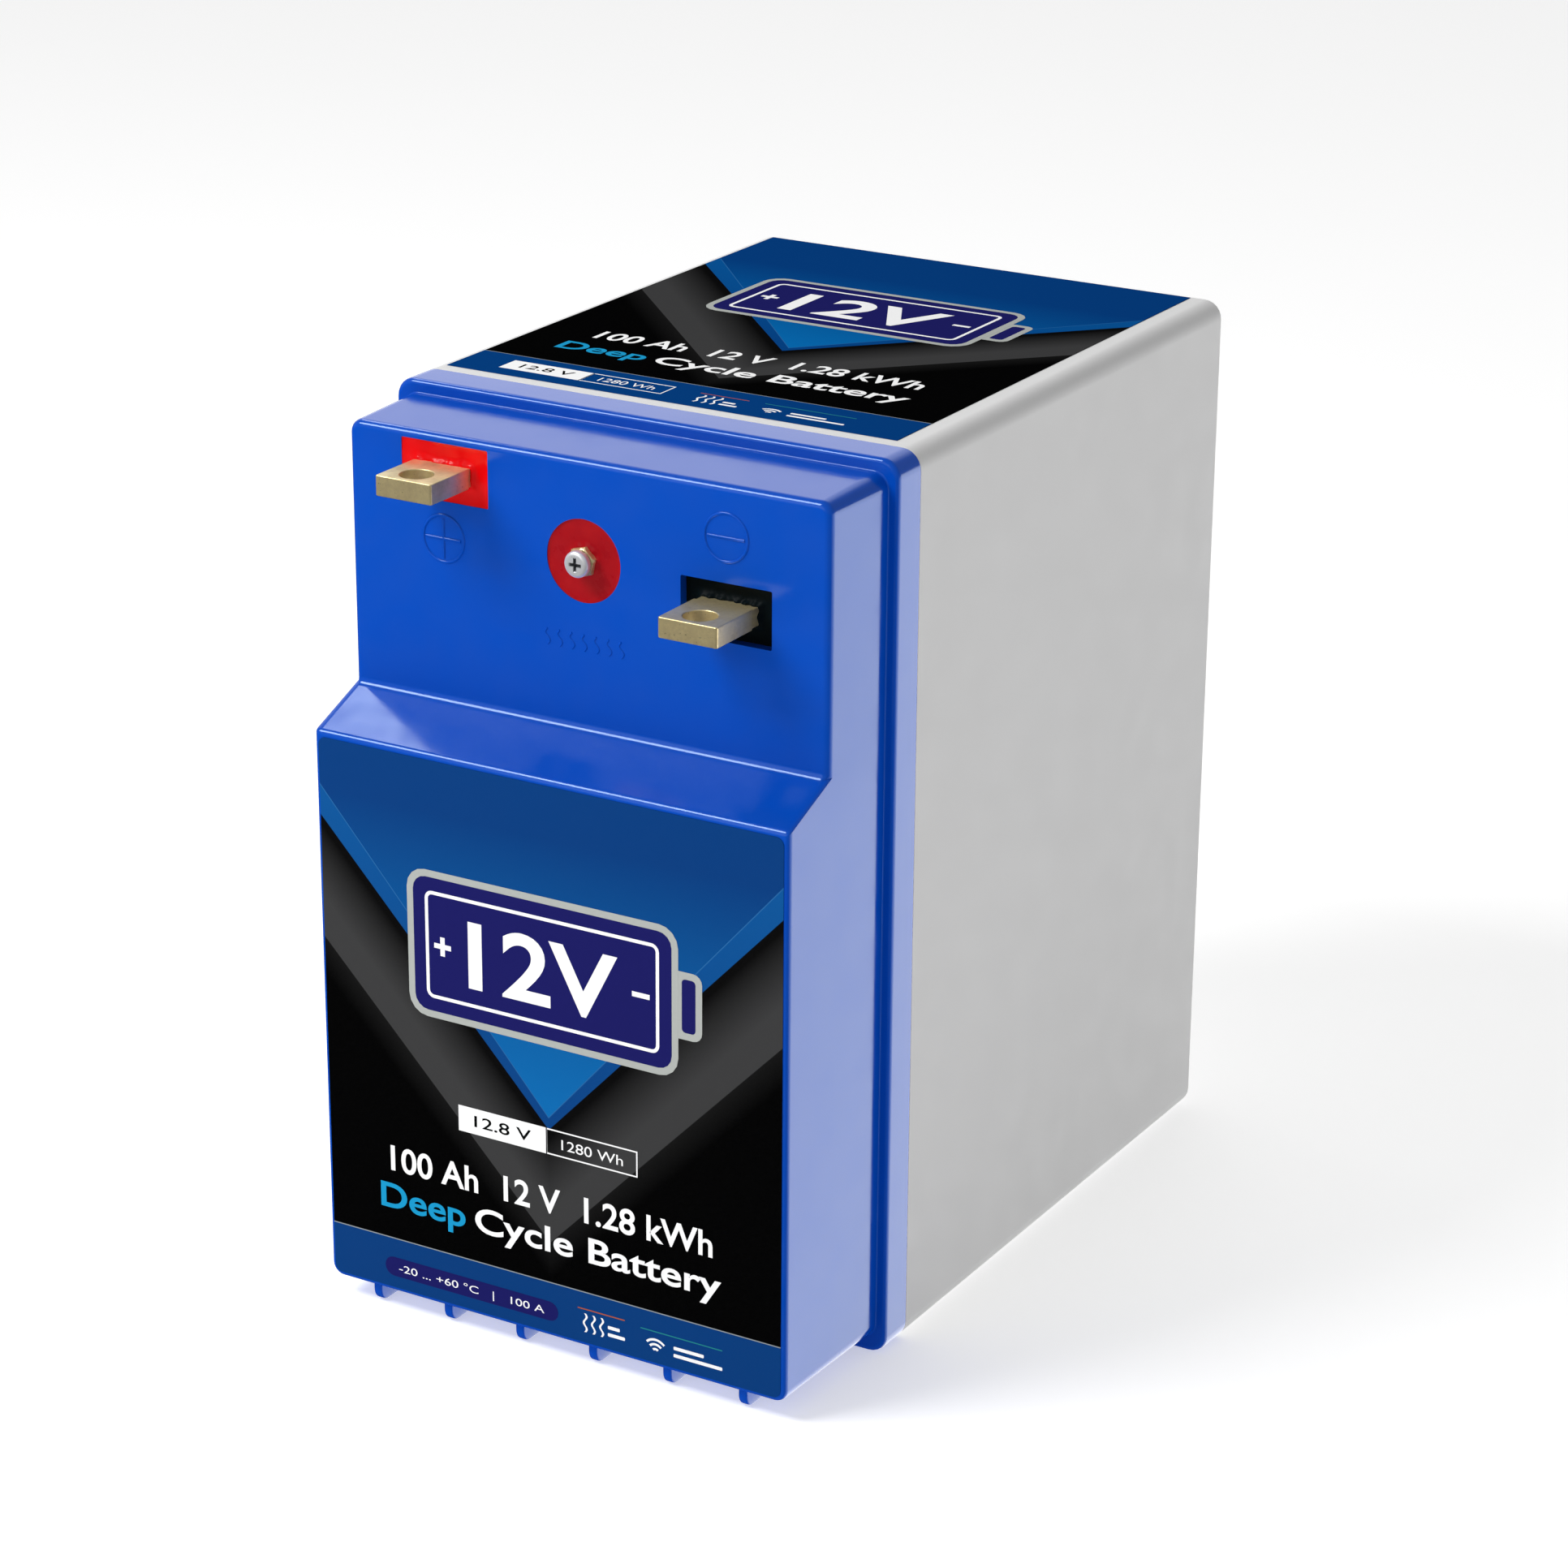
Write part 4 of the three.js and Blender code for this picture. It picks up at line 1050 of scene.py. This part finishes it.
class Label:
    """Places flat ink shapes, drawn in (u, v), on one label. A higher level lies over a lower one."""

    def __init__(self, prefix, to_battery, inks):
        self.prefix = prefix
        self.to_battery = to_battery
        self.inks = inks
        self.heap = {}

    def add(self, ink_name, mesh, u=0.0, v=0.0, level=0):
        mesh.transform(Matrix.Translation((u * MM, v * MM, level * INK_LEVEL * MM)))
        self.heap.setdefault(ink_name, []).append(mesh)

    def bar(self, ink_name, u0, u1, v0, v1, radius=0.05, level=0):
        self.add(ink_name, flat_shape([rounded_ring(u0, u1, v0, v1, radius, 4)], INK_THICKNESS), level=level)

    def frame(self, ink_name, u0, u1, v0, v1, width, radius=0.05, level=0):
        inner = rounded_ring(u0 + width, u1 - width, v0 + width, v1 - width, max(radius - width, 0.03), 6)
        loops = [rounded_ring(u0, u1, v0, v1, radius, 6), inner]
        self.add(ink_name, flat_shape(loops, INK_THICKNESS), level=level)

    def words(self, ink_name, text, u, v, size, weight, width, level=0):
        """Text with its left end at u and its baseline at v, stretched or squeezed to a width."""
        mesh = text_shape(text, size, INK_THICKNESS, weight)
        xs = [vertex.co.x / MM for vertex in mesh.vertices]
        mesh.transform(Matrix.Translation((-min(xs) * MM, 0, 0)))
        mesh.transform(Matrix.Diagonal((width / (max(xs) - min(xs)), 1, 1, 1)))
        self.add(ink_name, mesh, u, v, level)

    def print(self):
        for ink_name, meshes in self.heap.items():
            mesh = merged(meshes)
            mesh.transform(self.to_battery)
            show(f"{self.prefix}_{ink_name}", mesh, self.inks[ink_name])


def draw_emblem(label, v):
    """A plain battery pictogram with its voltage."""
    label.bar("silver", 40, 53, v - 10.5, v + 10.5, 3.0)
    label.bar("silver", -49, 45, v - 23.5, v + 23.5, 6.5, level=1)
    label.bar("navy", 46.2, 50.8, v - 8.3, v + 8.3, 1.2, level=1)
    label.bar("navy", -46.8, 42.8, v - 21.3, v + 21.3, 4.6, level=2)
    label.frame("white", -42.6, 38.6, v - 17.1, v + 17.1, 1.1, 2.6, level=3)
    label.words("white", "12V", -27.5, v - 10.6, 29.5, 0.55, 52.0, level=3)
    for u in (-36.6, 32.4):
        label.bar("white", u - 3.0, u + 3.0, v - 0.8, v + 0.8, level=3)
    for start in (-3.0, 0.8):
        label.bar("white", -37.4, -35.8, v + start, v + start + 2.2, level=3)


def draw_badge(label, u0, u1, v0, v1):
    """A white half and an outlined half, each with a rating."""
    middle = (u0 + u1) / 2
    half = middle - u0
    size = (v1 - v0) * 0.62
    baseline = v0 + size * 0.48
    label.bar("white", u0, middle, v0, v1)
    label.frame("white", middle - 0.4, u1, v0, v1, 0.45)
    label.words("black", "12.8 V", u0 + half * 0.18, baseline, size, 0.03, half * 0.64, level=2)
    label.words("white", "1280 Wh", middle + half * 0.16, baseline, size * 0.9, 0.0, half * 0.68, level=1)


RATING_SIZE = 11.6
RATING_WEIGHT = 0.2


def draw_ratings(label, v_first, v_second):
    """The two lines of plain ratings."""
    lines = (
        ("white", "100 Ah  12 V  1.28 kWh", -57.5, v_first, 114),
        ("cyan", "Deep", -61.5, v_second, 31),
        ("white", "Cycle Battery", -27.0, v_second, 86.5),
    )
    for ink_name, words, u, v, width in lines:
        label.words(ink_name, words, u, v, RATING_SIZE, RATING_WEIGHT, width)


def draw_text_lines(label, start, end, v0, second_share):
    """Two plain bars that stand for small print, the second one shorter."""
    for k, share in enumerate((1.0, second_share)):
        v = v0 + 0.8 + 2.4 * k
        label.bar("white", start, start + (end - start) * share, v, v + 1.1, 0.3)


def draw_heat_block(label, u0, u1, v0, v1):
    """Three heat waves beside small print, under a thin line."""
    label.bar("orange", u0, u1, v1 - 0.35, v1)
    rise = v1 - v0 - 1.6
    for k in range(3):
        u = u0 + 2.6 + 2.9 * k
        left = []
        for step in range(13):
            left.append((u - 0.35 + 0.55 * math.sin(step * math.pi / 4), v0 + rise * step / 12))
        right = [(x + 0.7, y) for x, y in reversed(left)]
        label.add("white", flat_shape([left + right], INK_THICKNESS))
    draw_text_lines(label, u0 + 10.6, u1, v0, 0.7)


def draw_signal_block(label, u0, u1, v0, v1):
    """Three signal arcs beside small print, under a thin line."""
    label.bar("teal", u0, u1, v1 - 0.35, v1)
    centre_u = u0 + 5.2
    for k in range(1, 4):
        radius = 1.55 * k
        outer = arc(centre_u, v0 + 0.5, radius, 45, 135, 12)
        inner = arc(centre_u, v0 + 0.5, radius - 0.75, 135, 45, 12)
        label.add("white", flat_shape([outer + inner], INK_THICKNESS))
    draw_text_lines(label, u0 + 11.5, u1, v0, 0.62)


def make_front_label(inks):
    face = node_box("front_label")[0][1] - 0.01
    to_battery = Matrix(((1, 0, 0, 0), (0, 0, -1, face * MM), (0, 1, 0, 0), (0, 0, 0, 1)))
    label = Label("front_print", to_battery, inks)
    draw_emblem(label, 125.5)
    draw_badge(label, -32.2, 30.9, 67.2, 75.6)
    draw_ratings(label, 48.0, 35.2)
    label.bar("navy", -60.6, 2.5, 12.0, 18.4, 3.15)
    label.words("white", "-20 ... +60 °C   |   100 A", -55.5, 13.9, 3.5, 0.0, 53, level=1)
    draw_heat_block(label, 9.5, 26.1, 11.6, 19.4)
    draw_signal_block(label, 31.6, 59.9, 11.0, 18.6)
    label.print()


def make_top_label(inks):
    middle = middle_of("top_label")[0]
    face = node_box("top_label")[1][2] + 0.01
    to_battery = Matrix.Translation(Vector((middle, PARTING_Y, face)) * MM)
    label = Label("top_print", to_battery, inks)
    draw_emblem(label, 126.0)
    draw_ratings(label, 54.5, 39.2)
    draw_badge(label, -62.5, -5.5, 10.6, 19.6)
    draw_heat_block(label, 4.0, 20.6, 9.0, 18.0)
    draw_signal_block(label, 26.0, 56.5, 9.0, 18.0)
    label.print()


# ---- Materials for the labels' films and for what is inside the case ----


def paint(nodes, material):
    for node in nodes:
        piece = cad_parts[node]
        piece.data.materials.clear()
        piece.data.materials.append(material)


def numbered(stem, count):
    return [f"{stem}_{i + 1}" for i in range(count)]


def make_inner_materials():
    """Everything inside the case, seen only when the lid is off."""
    plastics = (
        ("seal_rubber", ["lid_seal"], (0.012, 0.012, 0.012), 0.75, 1500.0, 0.05),
        ("cell_sleeve", numbered("cell", 4), (0.028, 0.115, 0.342), 0.4, 700.0, 0.03),
        ("pad_board", numbered("cell_pad", 3) + ["balance_connector"], (0.77, 0.75, 0.69), 0.7, 1200.0, 0.06),
        ("frame_plastic", ["end_plate_lower", "end_plate_upper", "bms_tray"],
         (0.105, 0.112, 0.124), 0.62, 1300.0, 0.05),
        ("foam", ["foam_lower", "foam_upper"], (0.022, 0.022, 0.022), 0.9, 900.0, 0.3),
        ("heater_film", ["heater_pad"], (0.46, 0.13, 0.012), 0.45, 600.0, 0.03),
        ("circuit_board", ["bms_board", "radio_module"], (0.006, 0.10, 0.034), 0.35, 800.0, 0.04),
        ("red_cable", ["positive_cable"], (0.43, 0.006, 0.009), 0.45, 1100.0, 0.04),
        ("black_cable", ["negative_cable", "pack_negative_cable"], (0.010, 0.010, 0.010), 0.5, 1100.0, 0.04),
        ("white_wire", ["balance_leads", "heat_enable_wire", "heater_leads"],
         (0.68, 0.68, 0.68), 0.5, 1100.0, 0.03),
    )
    for name, nodes, color, roughness, grain_scale, grain_depth in plastics:
        paint(nodes, moulded_plastic(name, color, roughness, grain_scale, grain_depth))
    fasteners = numbered("cell_nut", 8) + numbered("bms_screw", 4) + ["bms_nut_pack", "bms_nut_output"]
    fasteners += ["positive_lug_bolt", "negative_lug_bolt", "tie_band_front", "tie_band_back"]
    paint(fasteners, plated_metal("inner_zinc", (0.62, 0.64, 0.66), 0.3))
    paint(numbered("busbar", 3), plated_metal("busbar_copper", (0.62, 0.26, 0.13), 0.32))
    paint(["bms_heatsink"], plated_metal("heat_sink_aluminium", (0.6, 0.62, 0.64), 0.42))


# ---- Camera, floor and light ----

AZIMUTH, ELEVATION, ROLL = 30.37, 20.64, 0.39
DISTANCE = 1368.6
LENS = 100.1
SENSOR = 36.0
AIM_OFFSET = (1.1, 1.3, 1.1)


def make_camera():
    """Looks down on the lid from the front right, aimed a little past the middle of the battery."""
    azimuth, elevation, roll = (math.radians(value) for value in (AZIMUTH, ELEVATION, ROLL))
    back = Vector(
        (
            math.sin(azimuth) * math.cos(elevation),
            -math.cos(azimuth) * math.cos(elevation),
            math.sin(elevation),
        )
    )
    right = Vector((math.cos(azimuth), math.sin(azimuth), 0))
    up = back.cross(right)
    turned_right = right * math.cos(roll) + up * math.sin(roll)
    turned_up = up * math.cos(roll) - right * math.sin(roll)
    low, high = (Vector(corner) for corner in cad_box)
    target = (low + high) / 2 + Vector(AIM_OFFSET) * MM
    camera = bpy.data.cameras.new("camera")
    camera.lens = LENS
    camera.sensor_width = SENSOR
    camera.clip_start = 0.05
    holder = bpy.data.objects.new("camera", camera)
    bpy.context.scene.collection.objects.link(holder)
    rotation = Matrix((turned_right, turned_up, back)).transposed().to_4x4()
    holder.matrix_world = Matrix.Translation(target + back * DISTANCE * MM) @ rotation
    bpy.context.scene.camera = holder


def softbox(name, place, target, size, radiance):
    """A rectangular light of a given brightness, whatever its size."""
    data = bpy.data.lights.new(name, "AREA")
    data.shape = "RECTANGLE"
    data.size, data.size_y = size
    data.energy = radiance * math.pi * size[0] * size[1]
    lamp = bpy.data.objects.new(name, data)
    bpy.context.scene.collection.objects.link(lamp)
    away = (Vector(place) - Vector(target)).normalized()
    along = (Vector((1, 0, 0)) - away * away.x).normalized()
    rotation = Matrix((along, away.cross(along), away)).transposed().to_4x4()
    lamp.matrix_world = Matrix.Translation(place) @ rotation
    lamp.visible_camera = False


def make_floor():
    """A white light table, bright enough to leave only a faint shadow."""
    reach = 7.0
    mesh = bpy.data.meshes.new("floor")
    corners = [(-reach, -reach, 0), (reach, -reach, 0), (reach, reach, 0), (-reach, reach, 0)]
    mesh.from_pydata(corners, [], [(0, 1, 2, 3)])
    floor = bpy.data.objects.new("floor", mesh)
    bpy.context.scene.collection.objects.link(floor)
    shader = Shader("floor")
    shader.set(
        Base_Color=mottled(shader, (0.84, 0.84, 0.84), 3.0, 0.01),
        Roughness=0.9,
        Specular_IOR_Level=0.0,
        Emission_Color=(1.0, 1.0, 1.0, 1.0),
        Emission_Strength=0.5,
    )
    mesh.materials.append(shader.material)
    floor.visible_glossy = False


SKY_DIM = 0.3
SKY_WALL = 1.4
BELOW_DIM = 0.04
BELOW_BRIGHT = 3.5


def make_surround():
    """A grey studio: a pale wall behind on the left, and a bright table edge low behind on the right."""
    world = bpy.data.worlds.new("studio")
    bpy.context.scene.world = world
    world.use_nodes = True
    nodes = Nodes(world.node_tree)
    background = nodes.tree.nodes["Background"]
    background.inputs["Color"].default_value = (1.0, 1.0, 1.0, 1.0)
    direction = nodes.node("ShaderNodeTexCoord").outputs["Generated"]

    def glow(towards, start, end, low, high):
        inputs = {0: direction, 1: Vector(towards).normalized()}
        facing = nodes.node("ShaderNodeVectorMath", inputs, operation="DOT_PRODUCT").outputs["Value"]
        return nodes.ramp(facing, start, end, low, high)

    above = glow((-0.47, 0.81, 0.35), 0.78, 0.93, SKY_DIM, SKY_WALL)
    below = glow((0.5, 0.86, 0.0), 0.2, 0.85, BELOW_DIM, BELOW_BRIGHT)
    height = nodes.node("ShaderNodeSeparateXYZ", {0: direction}).outputs[2]
    split = nodes.ramp(height, -0.04, 0.04, 0.0, 1.0)
    strength = nodes.node("ShaderNodeMix", {0: split, 2: below, 3: above}).outputs[0]
    nodes.feed(background.inputs["Strength"], strength)


def make_studio():
    """Floor and surround, a key softbox high on the left, a strip over the step, and a fill in front."""
    make_floor()
    make_surround()
    step = (0.0, LID_LOW[1] * MM, STEP_TOP * MM)
    softbox("key", (-0.747, -0.863, 1.335), step, (0.75, 0.45), 16)
    softbox("strip", (-0.93, 0.36, 1.42), step, (0.12, 0.45), 7)
    softbox("fill", (-0.5, -1.9, 1.0), step, (1.4, 1.0), 1.0)
    bpy.context.scene.view_settings.view_transform = "Standard"


# ---- Assembly ----

make_camera()
make_studio()

lid_blue = moulded_plastic(
    "lid_blue", (0.0006, 0.070, 0.50), 0.14, 1300.0, 0.003, spread=0.02, ior=1.5, tint=(0.6, 0.8, 1.0)
)
case_grey = moulded_plastic("case_grey", (0.72, 0.72, 0.72), 0.55, 2400.0, 0.03, spread=0.012, ior=1.3)
brass = machined_brass()
red_resin = poured_resin("red_resin", (0.88, 0.001, 0.002), (0.70, 0.001, 0.003))
disc_resin = poured_resin("disc_resin", (0.48, 0.001, 0.003), (0.26, 0.001, 0.008), 0.24)
black_resin = poured_resin("black_resin", (0.004, 0.008, 0.009), (0.001, 0.003, 0.004), 0.35, 0.04)
zinc = plated_metal("bright_zinc", (0.86, 0.88, 0.90), 0.34, metallic=0.8)

make_case(case_grey)
make_lid(lid_blue)
make_ribs(lid_blue)
make_signs(lid_blue)
make_tab("positive_tab", "positive_terminal", brass)
make_tab("negative_tab", "negative_terminal", brass)
make_window_resin("positive_resin", "positive_potting", "positive_terminal", red_resin, 0.9)
make_window_resin(
    "negative_resin", "negative_potting", "negative_terminal", black_resin, 1.4
)
make_disc_resin(disc_resin)
make_contact(brass)
make_washer(zinc)
make_screw()

label_inks = {
    "white": ink("ink_white", (0.93, 0.93, 0.93)),
    "silver": ink("ink_silver", (0.42, 0.44, 0.42)),
    "navy": ink("ink_navy", (0.013, 0.013, 0.115)),
    "black": ink("ink_black", (0.003, 0.003, 0.003)),
    "cyan": ink("ink_cyan", (0.013, 0.305, 0.578)),
    "orange": ink("ink_orange", (0.42, 0.10, 0.04)),
    "teal": ink("ink_teal", (0.02, 0.22, 0.24)),
}
paint(["front_label"], printed_label("front_label_film", 0.0, 2, 0.0, 75.1, 0.03))
top_middle = middle_of("top_label")[0]
paint(["top_label"], printed_label("top_label_film", top_middle, 1, PARTING_Y, 71.5, 0.0))
make_front_label(label_inks)
make_top_label(label_inks)
make_inner_materials()
